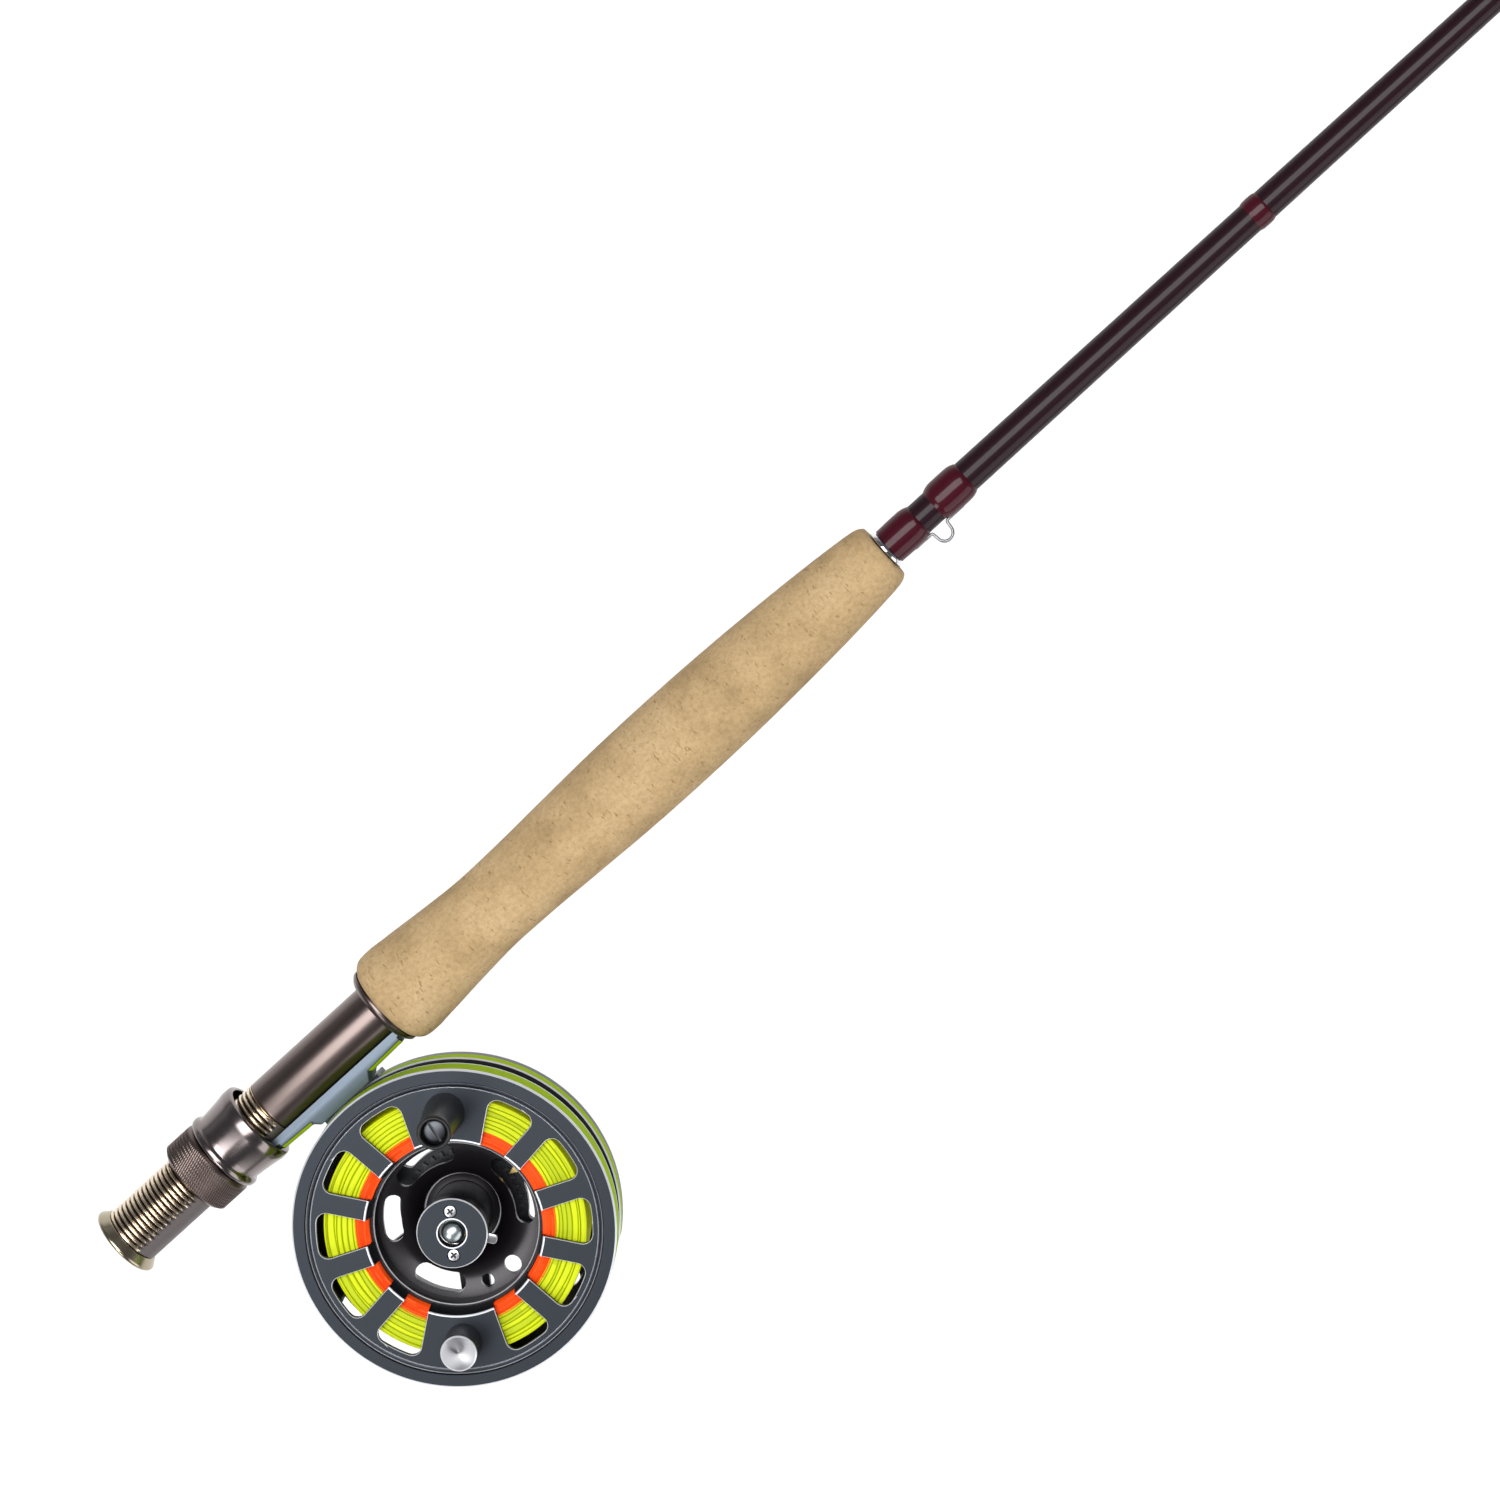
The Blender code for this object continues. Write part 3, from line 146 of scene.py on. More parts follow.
def speckle(material):
    """Fine grain, as on bead-blasted and anodised metal."""
    nodes, links, out = tree(material)
    noise = texture(nodes, links, coordinates(nodes, links), "ShaderNodeTexNoise", Scale=2500.0, Detail=2.0)
    base, spread_by = out.inputs["Roughness"].default_value, 0.08
    spread = nodes.new("ShaderNodeMapRange")
    spread.inputs["To Min"].default_value = base - spread_by
    spread.inputs["To Max"].default_value = base + spread_by
    links.new(noise.outputs["Fac"], spread.inputs["Value"])
    links.new(spread.outputs[0], out.inputs["Roughness"])
    bumped = add_node(nodes, "ShaderNodeBump", Strength=0.25, Distance=0.00002)
    links.new(noise.outputs["Fac"], bumped.inputs["Height"])
    links.new(bumped.outputs[0], out.inputs["Normal"])
    return material


GUNMETAL = speckle(shader("gunmetal", (0.031, 0.036, 0.044), 0.42, 0.85))
# Painted shade: a darker copy of the gunmetal for walls, back edges and inner faces turned away from the light.
GUNMETAL_SHADE = speckle(shader("gunmetal_painted_shade", (0.018, 0.019, 0.022), 0.38, 0.6))
FOOT_GREY = speckle(shader("foot_blue_grey", (0.15, 0.185, 0.225), 0.42, 0.9))
SILVER = shader("cut_silver", (0.74, 0.76, 0.80), 0.34, 0.45)
CHROME = shader("polished_steel", (0.80, 0.81, 0.83), 0.07, 1.0)
BALL = shader("polished_ball", (0.45, 0.50, 0.51), 0.34, 1.0)
WIRE_STEEL = shader("guide_wire", (0.24, 0.24, 0.25), 0.22, 1.0)
SCREW = shader("bright_screw", (0.60, 0.60, 0.64), 0.36, 1.0)
STEEL = shader("turned_steel", (0.62, 0.62, 0.63), 0.28, 1.0)
BLACK_GLOSS = shader("black_gloss_anodised", (0.012, 0.010, 0.012), 0.30, 0.5, 0.25, 0.22)
# Black satin for the black parts, and painted shade inside the screws' cross and slot recesses.
BLACK_SATIN_AND_SLOT_SHADE = shader("black_satin_and_slot_shade", (0.02, 0.02, 0.023), 0.35, 0.3)
KNOB_BLACK = shader("knob_black", (0.007, 0.007, 0.008), 0.34, specular=0.35)
DARK_STEEL = shader("blackened_steel", (0.075, 0.08, 0.09), 0.38, 1.0)
# Painted shade: near-black for the insides of holes and recesses.
PIT_SHADE = shader("recess_painted_shade", (0.004, 0.004, 0.005), 0.6, specular=0.1)
# Painted reflection: lime that stands for green surroundings mirrored in the rims' outer faces and the foot's side.
LIME_REFLECTION = shader("painted_lime_reflection", (0.33, 0.50, 0.004), 0.7, 0.0, specular=0.05)
BRONZE = shader("bronze_anodised", (0.175, 0.138, 0.128), 0.29, 1.0)
HOOD = shader("bronze_polished", (0.25, 0.215, 0.21), 0.20, 1.0)
# Painted light on the thread: a much lighter copy of the bronze on its crests and flanks as a painted highlight, a
# near-black copy in its valleys as painted shade.
THREAD_HIGHLIGHT = shader("thread_painted_highlight", (0.78, 0.66, 0.50), 0.24, 1.0)
THREAD_VALLEY_SHADE = shader("thread_valley_painted_shade", (0.055, 0.040, 0.034), 0.40, 1.0)
SMOOTH_ZONE = shader("thread_flat", (0.16, 0.14, 0.138), 0.5, 1.0)
CAP_GOLD = shader("butt_cap_gold", (0.40, 0.35, 0.25), 0.22, 1.0)
BRONZE_KNURL = shader("bronze_knurl", (0.15, 0.115, 0.105), 0.30, 1.0)
# Painted shade: the knurl's valleys darker than its ridges.
KNURL_VALLEY_SHADE = shader("knurl_valley_painted_shade", (0.055, 0.042, 0.038), 0.45, 1.0)
BRASS = shader("brass", (0.72, 0.52, 0.2), 0.25, 1.0)
BACKING = shader("backing_orange", (0.84, 0.075, 0.004), 0.6, specular=0.2)
# Painted shade in the grooves between turns of backing.
BACKING_GROOVE_SHADE = shader("backing_groove_painted_shade", (0.75, 0.055, 0.003), 0.7, specular=0.1)
LINE = shader("line_yellow", (0.56, 0.64, 0.0), 0.5, specular=0.25)
# Painted shade in the grooves between turns of line.
LINE_GROOVE_SHADE = shader("line_groove_painted_shade", (0.27, 0.34, 0.0), 0.7, specular=0.1)
LINE_SHADE = shader("line_yellow_worn", (0.45, 0.54, 0.0), 0.5, specular=0.25)
DRAG_CORK = shader("drag_cork", (0.3, 0.18, 0.09), 0.85)


# The fluorescent line and the backing emit a little light of their own: a painted glow that lifts their shade.
for material, colour, strength in ((LINE, (0.66, 0.74, 0.0), 0.05), (BACKING, (1.0, 0.09, 0.003), 0.06)):
    painted_glow = tree(material)[2].inputs
    painted_glow["Emission Color"].default_value = (*colour, 1)
    painted_glow["Emission Strength"].default_value = strength


def cork_material():
    material = shader("cork", (0.62, 0.41, 0.2), 0.78, specular=0.25)
    nodes, links, out = tree(material)
    place = coordinates(nodes, links)
    base = texture(nodes, links, place, "ShaderNodeTexNoise", Scale=55.0, Detail=5.0, Roughness=0.6)
    tone = ramped(nodes, links, base.outputs["Fac"],
                  [(0.30, (0.335, 0.23, 0.11)), (0.5, (0.45, 0.315, 0.16)), (0.72, (0.52, 0.375, 0.205))])
    fine = texture(nodes, links, place, "ShaderNodeTexNoise", Scale=900.0, Detail=3.0, Roughness=0.7)
    grain = ramped(nodes, links, fine.outputs["Fac"], [(0.35, (0.82, 0.80, 0.76)), (0.6, (1.0, 1.0, 1.0))])
    first = nodes.new("ShaderNodeMix")
    first.data_type, first.blend_type = "RGBA", "MULTIPLY"
    first.inputs[0].default_value = 1.0
    links.new(tone.outputs[0], first.inputs[6])
    links.new(grain.outputs[0], first.inputs[7])
    # Lenticels: short dark cracks, longer round the grip than along it.
    cracks = texture(nodes, links, coordinates(nodes, links, (420, 420, 1500)), "ShaderNodeTexNoise", Scale=1.0,
                     Detail=3.0, Roughness=0.55)
    streak = ramped(nodes, links, cracks.outputs["Fac"], [(0.0, (0, 0, 0)), (0.63, (0, 0, 0)), (0.69, (1, 1, 1))])
    pits = texture(nodes, links, place, "ShaderNodeTexVoronoi", Scale=330.0)
    pit = ramped(nodes, links, pits.outputs["Distance"],
                 [(0.0, (1, 1, 1)), (0.10, (0.8, 0.8, 0.8)), (0.16, (0, 0, 0))])
    patches = texture(nodes, links, place, "ShaderNodeTexNoise", Scale=70.0, Detail=2.0)
    patch = ramped(nodes, links, patches.outputs["Fac"], [(0.50, (0, 0, 0)), (0.62, (1, 1, 1))])
    some_pits = math_node(nodes, links, "MULTIPLY", pit.outputs[0], patch.outputs[0])
    holes = math_node(nodes, links, "MAXIMUM", streak.outputs[0], some_pits.outputs[0])
    soft = math_node(nodes, links, "MULTIPLY", holes.outputs[0], 0.62)
    second = nodes.new("ShaderNodeMix")
    second.data_type = "RGBA"
    second.inputs[7].default_value = (0.20, 0.105, 0.035, 1)
    links.new(soft.outputs[0], second.inputs[0])
    links.new(first.outputs[2], second.inputs[6])
    links.new(second.outputs[2], out.inputs["Base Color"])
    drop = math_node(nodes, links, "MULTIPLY_ADD", holes.outputs[0], -1.0, fine.outputs["Fac"])
    bump = add_node(nodes, "ShaderNodeBump", Strength=0.5, Distance=0.00012)
    links.new(drop.outputs[0], bump.inputs["Height"])
    links.new(bump.outputs[0], out.inputs["Normal"])
    return material


def blank_material():
    material = shader("blank_burgundy", (0.012, 0.002, 0.005), 0.5, 0.0, 0.28, 0.06, specular=0.12)
    nodes, links, out = tree(material)
    flake = texture(nodes, links, coordinates(nodes, links), "ShaderNodeTexNoise", Scale=4000.0, Detail=1.0)
    tone = ramped(nodes, links, flake.outputs["Fac"], [(0.35, (0.006, 0.001, 0.003)), (0.7, (0.020, 0.003, 0.008))])
    links.new(tone.outputs[0], out.inputs["Base Color"])
    return material


def wrap_material():
    material = shader("wrap_burgundy", (0.05, 0.001, 0.006), 0.5, 0.0, 0.4, 0.03, specular=0.1)
    nodes, links, out = tree(material)
    wave = texture(nodes, links, coordinates(nodes, links), "ShaderNodeTexWave", Scale=1300.0, Distortion=0.5)
    wave.bands_direction = "Z"
    tone = ramped(nodes, links, wave.outputs["Fac"], [(0.0, (0.022, 0.0004, 0.004)), (1.0, (0.062, 0.0008, 0.008))])
    links.new(tone.outputs[0], out.inputs["Base Color"])
    return material


CORK = cork_material()
BLANK = blank_material()
WRAP = wrap_material()


# Shapes, in millimetres, in a local frame

def belong(obj, body, slot, *cad):
    """The body that a piece moves with, and the CAD nodes that it stands for. The slot is not used."""
    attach(obj, body)
    if cad:
        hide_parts(*cad)


def finish_mesh(name, mesh, matrix, body, cad, looks, slot, smooth=35):
    obj = bpy.data.objects.new(name, mesh)
    bpy.context.scene.collection.objects.link(obj)
    mesh.transform(Matrix.Scale(MM, 4))
    obj.matrix_world = matrix
    for look in looks:
        if look.name not in [m.name for m in mesh.materials]:
            mesh.materials.append(look)
    if smooth:
        mesh.shade_smooth()
        mesh.set_sharp_from_angle(angle=math.radians(smooth))
    if body is not None:
        belong(obj, body, slot, *cad)
    return obj


def mesh_of(name, points, faces, looks=()):
    mesh = bpy.data.meshes.new(name)
    mesh.from_pydata(points, [], faces)
    if looks:
        mesh.polygons.foreach_set("material_index", looks)
    edit = bmesh.new()
    edit.from_mesh(mesh)
    return mesh, edit


def close_edit(mesh, edit):
    edit.to_mesh(mesh)
    edit.free()
    return mesh


def grid_mesh(name, rings, closed_profile, band_looks=None, face_looks=None):
    """A mesh from rings[angle][profile point] = (x, y, z). Points on the axis are merged after."""
    rings = np.asarray(rings, float)
    turns, count = rings.shape[0], rings.shape[1]
    faces, looks = [], []
    for a in range(turns):
        b = (a + 1) % turns
        for k in range(count if closed_profile else count - 1):
            n = (k + 1) % count
            faces.append((a * count + k, b * count + k, b * count + n, a * count + n))
            looks.append(face_looks[a][k] if face_looks is not None else band_looks[k])
    mesh, edit = mesh_of(name, rings.reshape(-1, 3).tolist(), faces, looks)
    bmesh.ops.remove_doubles(edit, verts=edit.verts, dist=1e-5)
    bmesh.ops.dissolve_degenerate(edit, dist=1e-6, edges=edit.edges)
    bmesh.ops.recalc_face_normals(edit, faces=edit.faces)
    return close_edit(mesh, edit)


def lathe(name, profile, looks, matrix=REEL, sides=160, body=None, cad=(), slot=None, smooth=35):
    """A turned solid. Each profile point is (radius, height[, look index of the segment after it])."""
    on_axis = min(p[0] for p in profile) <= 0
    r = np.array([p[0] for p in profile])
    z = np.array([p[1] for p in profile])
    bands = [p[2] if len(p) > 2 else 0 for p in profile]
    rings = [np.stack([r * math.cos(angle), r * math.sin(angle), z], axis=1)
             for angle in 2 * math.pi * np.arange(sides) / sides]
    mesh = grid_mesh(name, rings, not on_axis, bands)
    return finish_mesh(name, mesh, matrix, body, cad, looks, slot, smooth)


def polar(r, degrees):
    return r * math.cos(math.radians(degrees)), r * math.sin(math.radians(degrees))


def rounded(corners, radii, steps=8):
    outline = []
    for index, corner in enumerate(corners):
        radius = radii[index] if isinstance(radii, (list, tuple)) else radii
        here = Vector(corner)
        before = (Vector(corners[index - 1]) - here).normalized()
        after = (Vector(corners[(index + 1) % len(corners)]) - here).normalized()
        half = before.angle(after) / 2
        start = here + before * (radius / math.tan(half))
        centre = here + (before + after).normalized() * (radius / math.sin(half))
        end = here + after * (radius / math.tan(half))
        first, last = start - centre, end - centre
        sweep = first.angle_signed(last)
        for step in range(steps + 1):
            outline.append(tuple(centre + Matrix.Rotation(-sweep * step / steps, 2) @ first))
    return outline


def arc(outline, centre, radius, first, last, steps):
    for k in range(steps + 1):
        outline.append(tuple(centre + Vector(polar(radius, first + (last - first) * k / steps))))


def window(azimuth, inner, outer, pitch, spoke, outer_corner, inner_corner, steps=7):
    """A window between two parallel-sided spokes, with arcs for its inner and outer ends."""
    half = math.radians(pitch / 2)

    def corner_at(radius, corner, sign, outside):
        """The centre of a corner circle that touches the spoke's side and the arc, and its bearing."""
        distance = radius - corner if outside else radius + corner
        lean = half - math.asin((spoke / 2 + corner) / distance)
        centre = Vector(polar(distance, azimuth + sign * math.degrees(lean)))
        bearing = math.degrees(math.atan2(centre.y, centre.x))
        return centre, azimuth + ((bearing - azimuth + 180) % 360 - 180)

    (c1, angle1), (c2, angle2) = [corner_at(outer, outer_corner, sign, True) for sign in (-1, 1)]
    (c3, angle3), (c4, angle4) = [corner_at(inner, inner_corner, sign, False) for sign in (1, -1)]
    low, high, origin, outline = azimuth - pitch / 2, azimuth + pitch / 2, Vector((0, 0)), []
    arc(outline, c1, outer_corner, low - 90, angle1, steps)
    arc(outline, origin, outer, angle1, angle2, 8)
    arc(outline, c2, outer_corner, angle2, high + 90, steps)
    arc(outline, c3, inner_corner, high + 90, angle3 + 180, max(steps // 2, 2))
    arc(outline, origin, inner, angle3, angle4, 6)
    arc(outline, c4, inner_corner, angle4 - 180, low - 90, max(steps // 2, 2))
    return outline


def comb(azimuth, inner, outer, pitch, spoke, corner, closed):
    """The inner edge of a spoked face: spokes that end on a circle, with open windows between them.
    Spaces listed in closed have no window."""
    half = math.radians(pitch / 2)
    outline = []
    origin = Vector((0, 0))
    reach = math.degrees(half - math.asin(spoke / 2 / inner))
    for k in range(int(round(360 / pitch))):
        middle = azimuth + pitch * k
        if k in closed:
            arc(outline, origin, inner, middle - reach, middle + reach, 12)
        else:
            low, high = middle - pitch / 2, middle + pitch / 2
            lean = math.degrees(half - math.asin((spoke / 2 + corner) / (outer - corner)))
            start = Vector(polar(outer - corner, middle - lean))
            end = Vector(polar(outer - corner, middle + lean))
            outline.append(polar(inner, middle - reach))
            arc(outline, start, corner, low - 90, middle - lean, 7)
            arc(outline, origin, outer, middle - lean, middle + lean, 9)
            arc(outline, end, corner, middle + lean, high + 90, 7)
            outline.append(polar(inner, middle + reach))
        arc(outline, origin, inner, middle + reach + 1.5, middle + pitch - reach - 1.5, 3)
    return outline


def ring_outline(radius, sides):
    return [polar(radius, 360 * k / sides) for k in range(sides)]


def circle(radius, azimuth, hole, sides):
    """The outline of a round hole that stands at a radius and an azimuth."""
    x, y = polar(radius, azimuth)
    return [(x + a, y + b) for a, b in ring_outline(hole, sides)]


def kidney(azimuth, half_angle, radius, half_width):
    steps, ends = 16, 8
    outline = []
    for side in (1, -1):
        for step in range(steps + 1):
            bearing = azimuth - side * half_angle + side * 2 * half_angle * step / steps
            outline.append(polar(radius + side * half_width, bearing))
        end = Vector(polar(radius, azimuth + side * half_angle))
        first = azimuth + half_angle if side == 1 else azimuth - half_angle + 180
        for step in range(1, ends):
            outline.append(tuple(end + Vector(polar(half_width, first + 180 * step / ends))))
    return outline


def mesh_of_curve(name, curve):
    shape = bpy.data.objects.new(name, curve)
    bpy.context.scene.collection.objects.link(shape)
    bpy.context.view_layer.update()
    graph = bpy.context.evaluated_depsgraph_get()
    mesh = bpy.data.meshes.new_from_object(shape.evaluated_get(graph))
    bpy.data.objects.remove(shape)
    return mesh


def plate(name, outlines, low, high, looks, matrix=REEL, chamfer=0.0, body=None, cad=(), slot=None,
          smooth=30, resolution=1, wall_look=0, chamfer_look=0):
    """Flat outlines made thick from low to high, with a chamfer inside the outline."""
    curve = bpy.data.curves.new(name, "CURVE")
    curve.dimensions = "2D"
    curve.fill_mode = "BOTH"
    curve.extrude = (high - low) / 2 - chamfer
    curve.bevel_depth = chamfer
    curve.bevel_resolution = resolution if chamfer else 0
    curve.offset = -chamfer
    for outline in outlines:
        spline = curve.splines.new("POLY")
        spline.points.add(len(outline) - 1)
        spline.use_cyclic_u = True
        for point, (x, y) in zip(spline.points, outline):
            point.co = (x, y, 0, 1)
    mesh = mesh_of_curve(name, curve)
    mesh.transform(Matrix.Translation((0, 0, (high + low) / 2)))
    edit = bmesh.new()
    edit.from_mesh(mesh)
    bmesh.ops.remove_doubles(edit, verts=edit.verts, dist=1e-4)
    bmesh.ops.recalc_face_normals(edit, faces=edit.faces)
    for face in edit.faces:
        up = abs(face.normal.z)
        face.material_index = 0 if up > 0.95 else (wall_look if up < 0.05 else chamfer_look)
    return finish_mesh(name, close_edit(mesh, edit), matrix, body, cad, looks, slot, smooth)


def wire(name, points, radius, look, body, cad, sides):
    """A bent wire through the points, with round ends capped."""
    curve = bpy.data.curves.new(name, "CURVE")
    curve.dimensions = "3D"
    curve.bevel_depth = radius
    curve.bevel_resolution = sides
    curve.use_fill_caps = True
    spline = curve.splines.new("NURBS")
    spline.points.add(len(points) - 1)
    for point, place in zip(spline.points, points):
        point.co = (*place, 1)
    spline.order_u = 4
    spline.use_endpoint_u = True
    spline.resolution_u = 5
    mesh = mesh_of_curve(name, curve)
    mesh.materials.clear()
    return finish_mesh(name, mesh, Matrix.Identity(4), body, cad, [look], "steel", 60)


def boolean(obj, cutters, operation="DIFFERENCE", smooth=35):
    for cutter in cutters:
        modifier = obj.modifiers.new("cut", "BOOLEAN")
        modifier.operation = operation
        modifier.solver = "EXACT"
        modifier.object = cutter
        modifier.material_mode = "TRANSFER"
    bpy.context.view_layer.update()
    graph = bpy.context.evaluated_depsgraph_get()
    mesh = bpy.data.meshes.new_from_object(obj.evaluated_get(graph))
    obj.modifiers.clear()
    obj.data = mesh
    for cutter in cutters:
        bpy.data.objects.remove(cutter)
    if smooth:
        mesh.shade_smooth()
        mesh.set_sharp_from_angle(angle=math.radians(smooth))
    return obj


def blank_radius(x):
    for (x0, r0), (x1, r1) in zip(TAPER, TAPER[1:]):
        if x <= x1:
            return r0 + (r1 - r0) * (x - x0) / (x1 - x0)
    return TAPER[-1][1]


# The spool

def make_spool():
    body, slot = "spool", "gunmetal"
    # Rim bands: look 2 is a painted lime reflection on the palming rim's outer face; look 3 is painted shade on its
    # back edge, back face and inner face.
    rim = [(40.05, 0.0), (43.05, 0.0, 1), (RIM_R, -0.45, 1), (RIM_R, -0.85, 2), (RIM_R, -7.7, 1), (RIM_R, -8.2, 3)]
    rim += [(43.1, -9.6, 3), (INNER_RIM_R, -9.6, 3), (INNER_RIM_R, -2.75, 3), (38.3, -2.75, 3)]
    rim += [(38.3, -0.95), (38.5, -0.80, 1), (38.62, -0.55), (38.95, -0.45), (39.2, -0.85), (39.6, -0.85, 1)]
    rim += [(39.75, -0.55)]
    lathe("spool_rim", rim, [GUNMETAL, SILVER, LIME_REFLECTION, GUNMETAL_SHADE], sides=256, body=body, cad=("spool",), slot=slot)
    spokes = comb(HANDLE_AZ, SPOKE_END_R, 37.0, SPOKE_PITCH, SPOKE_WIDTH, 2.6, SOLID_SPACES)
    outlines = [ring_outline(38.55, 240), spokes[::-1]]
    for r, azimuth in ((HANDLE_R, HANDLE_AZ), (WEIGHT_R, HANDLE_AZ + 180)):
        outlines.append(circle(r, azimuth, 1.6, 24)[::-1])
    # The walls of the windows and holes take the painted-shade gunmetal.
    plate("spool_face", outlines, -2.6, -0.8, [GUNMETAL, SILVER, GUNMETAL_SHADE], chamfer=0.16, body=body, slot=slot,
          wall_look=2, chamfer_look=1, smooth=25, resolution=0)
    # Each solid space has one wide end. The other spokes stand between two windows.
    half_spoke = math.degrees(math.asin(SPOKE_WIDTH / 2 / SPOKE_END_R))
    for k in range(SPOKES):
        azimuth = HANDLE_AZ + SPOKE_PITCH * k
        if k in SOLID_SPACES:
            first, last, steps = azimuth - (15 + half_spoke), azimuth + (15 + half_spoke), 14
        elif (k + 1) % SPOKES in SOLID_SPACES:
            continue
        else:
            first, last, steps = azimuth + 15 - half_spoke, azimuth + 15 + half_spoke, 5
        leg_end(f"spoke_end_{k}", [first + (last - first) * j / steps for j in range(steps + 1)], body, slot)
    # Arbor, web and post in one turning, glossy black inside
    arbor_in, bowl_start, bowl_top, bowl_depth = 22.1, 10.4, 12.3, 21.5
    drum = [(22.35, -5.9), (23.2, -5.9), (23.4, -6.1), (23.4, -21.0)]
    drum += [(40.7, -21.0, 2), (40.7, -22.4), (22.6, -22.4), (22.6, -15.6)]
    under, upper = [], []
    for k in range(13):
        turn = math.pi / 2 * k / 12
        r = bowl_start + (arbor_in - bowl_start) * (1 - math.cos(turn))
        depth = bowl_top + (bowl_depth - bowl_top) * (1 - math.sin(turn))
        upper.append((r, -depth))
        under.append((r + 0.6, -depth - 1.6))
    drum += [p for p in reversed(under) if p[0] < 22.0]
    drum += [(10.4, -23.0), (6.7, -23.0), (6.7, -3.6), (3.4, -3.6), (3.4, -0.8), (7.8, -0.8, 1)]
    drum += [(8.0, -1.0), (8.0, -21.3), (8.2, -21.5), (10.1, -21.5, 1), (10.4, -21.35, 1)]
    drum += upper[1:]
    drum += [(arbor_in, -6.15, 1)]
    shell = lathe("spool_drum", drum, [BLACK_GLOSS, SILVER, STEEL], sides=192, smooth=40)
    slots = [kidney(-15, 24, 17.8, 2.7), kidney(80, 20, 17.8, 2.7)]
    slots += [kidney(139, 13, 18.2, 2.4), kidney(-150, 14, 18.2, 2.7)]
    slots += [circle(18.9, -109, 1.8, 32), circle(19.2, -84, 2.4, 32)]
    web = plate("web_cut", slots, -26, -11.4, [BLACK_GLOSS], smooth=0)
    rear = [window(HANDLE_AZ + SPOKE_PITCH * k, 27.5, 37.0, SPOKE_PITCH, SPOKE_WIDTH, 2.2, 1.0, 4)
            for k in range(SPOKES)]
    # The rear windows' walls take the painted-shade gunmetal.
    back = plate("rear_cut", rear, -23.4, -20.2, [GUNMETAL_SHADE], smooth=0)
    boolean(shell, [web, back], smooth=40)
    belong(shell, body, slot, "spool")


def leg_end(name, angles, body, slot):
    """The end of a spoke, cut bright, that runs down to the edge of the arbor."""
    section = [(24.35, -0.74), (23.98, -0.74), (23.80, -0.95), (22.75, -5.7), (22.75, -6.6), (23.9, -6.6)]
    section += [(24.35, -2.5)]
    count = len(section)
    points, faces = [(*polar(r, angle), z) for angle in angles for r, z in section], []
    for a in range(len(angles) - 1):
        for k in range(count):
            n = (k + 1) % count
            faces.append((a * count + k, a * count + n, (a + 1) * count + n, (a + 1) * count + k))
    faces += [tuple(range(count)), tuple(reversed(range(len(points) - count, len(points))))]
    mesh, edit = mesh_of(name, points, faces)
    bmesh.ops.recalc_face_normals(edit, faces=edit.faces)
    for face in edit.faces:
        face.material_index = 1 if face.calc_center_median().z < -3.0 else 0
    return finish_mesh(name, close_edit(mesh, edit), REEL, body, (), [SILVER, GUNMETAL], slot, 25)


def wavy(seed, amplitude):
    rng = np.random.default_rng(seed)
    terms = [(n, rng.uniform(0.3, 1.0) / n**0.6, rng.uniform(0, 6.28)) for n in (1, 2, 3, 5, 7, 11)]
    scale = amplitude / sum(t[1] for t in terms)

    def value(angle):
        return scale * sum(a * math.sin(n * angle + p) for n, a, p in terms)

    return value


def wound(name, inner, outer, high, strand, looks, cad, seed, wander, deep):
    """Turns of line wound on the arbor: a scalloped outline whose turns wander a little round the spool.
    looks are for the crowns, the grooves, which are painted shade, and the darker turns."""
    low, sides, bump, hidden_bump, flat, sink = LINE_BACK, 300, 8, 4, 0.45, 0.32
    rows = max(int(round((outer - inner) / strand)), 1)
    columns = max(int(round((high - low) / strand)), 1)
    step_r, step_z = (outer - inner) / rows, (high - low) / columns
    waves = [wavy(seed + k, wander) for k in range(rows + 1)]
    lifts = [wavy(seed + 50 + k, 0.30) for k in range(rows)]
    shades = [wavy(seed + 90 + k, 1.0) for k in range(rows)]

    def crown(t, height):
        return math.sqrt(max(1 - (2 * t - 1) ** 2, 0.0)) * strand * height

    rings, paint = [], []
    for s in range(sides):
        angle = 2 * math.pi * s / sides
        points, tones = [], []
        # Front face, from the inner turn to the outer one
        edges = [inner + k * step_r + (waves[k](angle) if 0 < k < rows else 0) for k in range(rows + 1)]
        for k in range(rows):
            a, b = edges[k], edges[k + 1]
            lift = lifts[k](angle) - sink
            shade = shades[k](angle)
            for j in range(bump):
                t = j / bump
                z = high - strand * deep + crown(t, deep) + lift * math.sin(math.pi * t)
                points.append((a + (b - a) * t, z))
                # The first and last face of each turn lie in the groove and are painted shade.
                tones.append(1 if j in (0, bump - 1) else 2 if shade > 0.18 else 0)
        # Outer face from front to back, then the rear face
        shares = [j / hidden_bump for j in range(hidden_bump)]
        hidden = [(outer - strand * flat + crown(t, flat), high - k * step_z - step_z * t)
                  for k in range(columns) for t in shares]
        hidden += [(outer - k * step_r - step_r * t, low + strand * flat - crown(t, flat))
                   for k in range(rows) for t in shares]
        hidden.append((inner, low + strand * flat))
        points += hidden
        tones += [0] * len(hidden)
        rings.append([(r * math.cos(angle), r * math.sin(angle), z) for r, z in points])
        paint.append(tones)
    mesh = grid_mesh(name, rings, True, None, paint)
    return finish_mesh(name, mesh, REEL, "spool", (cad,), looks, cad, 180)


def make_line():
    wound("backing_winds", 23.45, 27.15, -2.95, 0.62, [BACKING, BACKING_GROOVE_SHADE, BACKING], "backing", 3, 0.10, 0.4)
    wound("line_winds", 26.6, 35.35, -2.85, 1.25, [LINE, LINE_GROOVE_SHADE, LINE_SHADE], "fly_line", 9, 0.75, 0.62)


# The frame

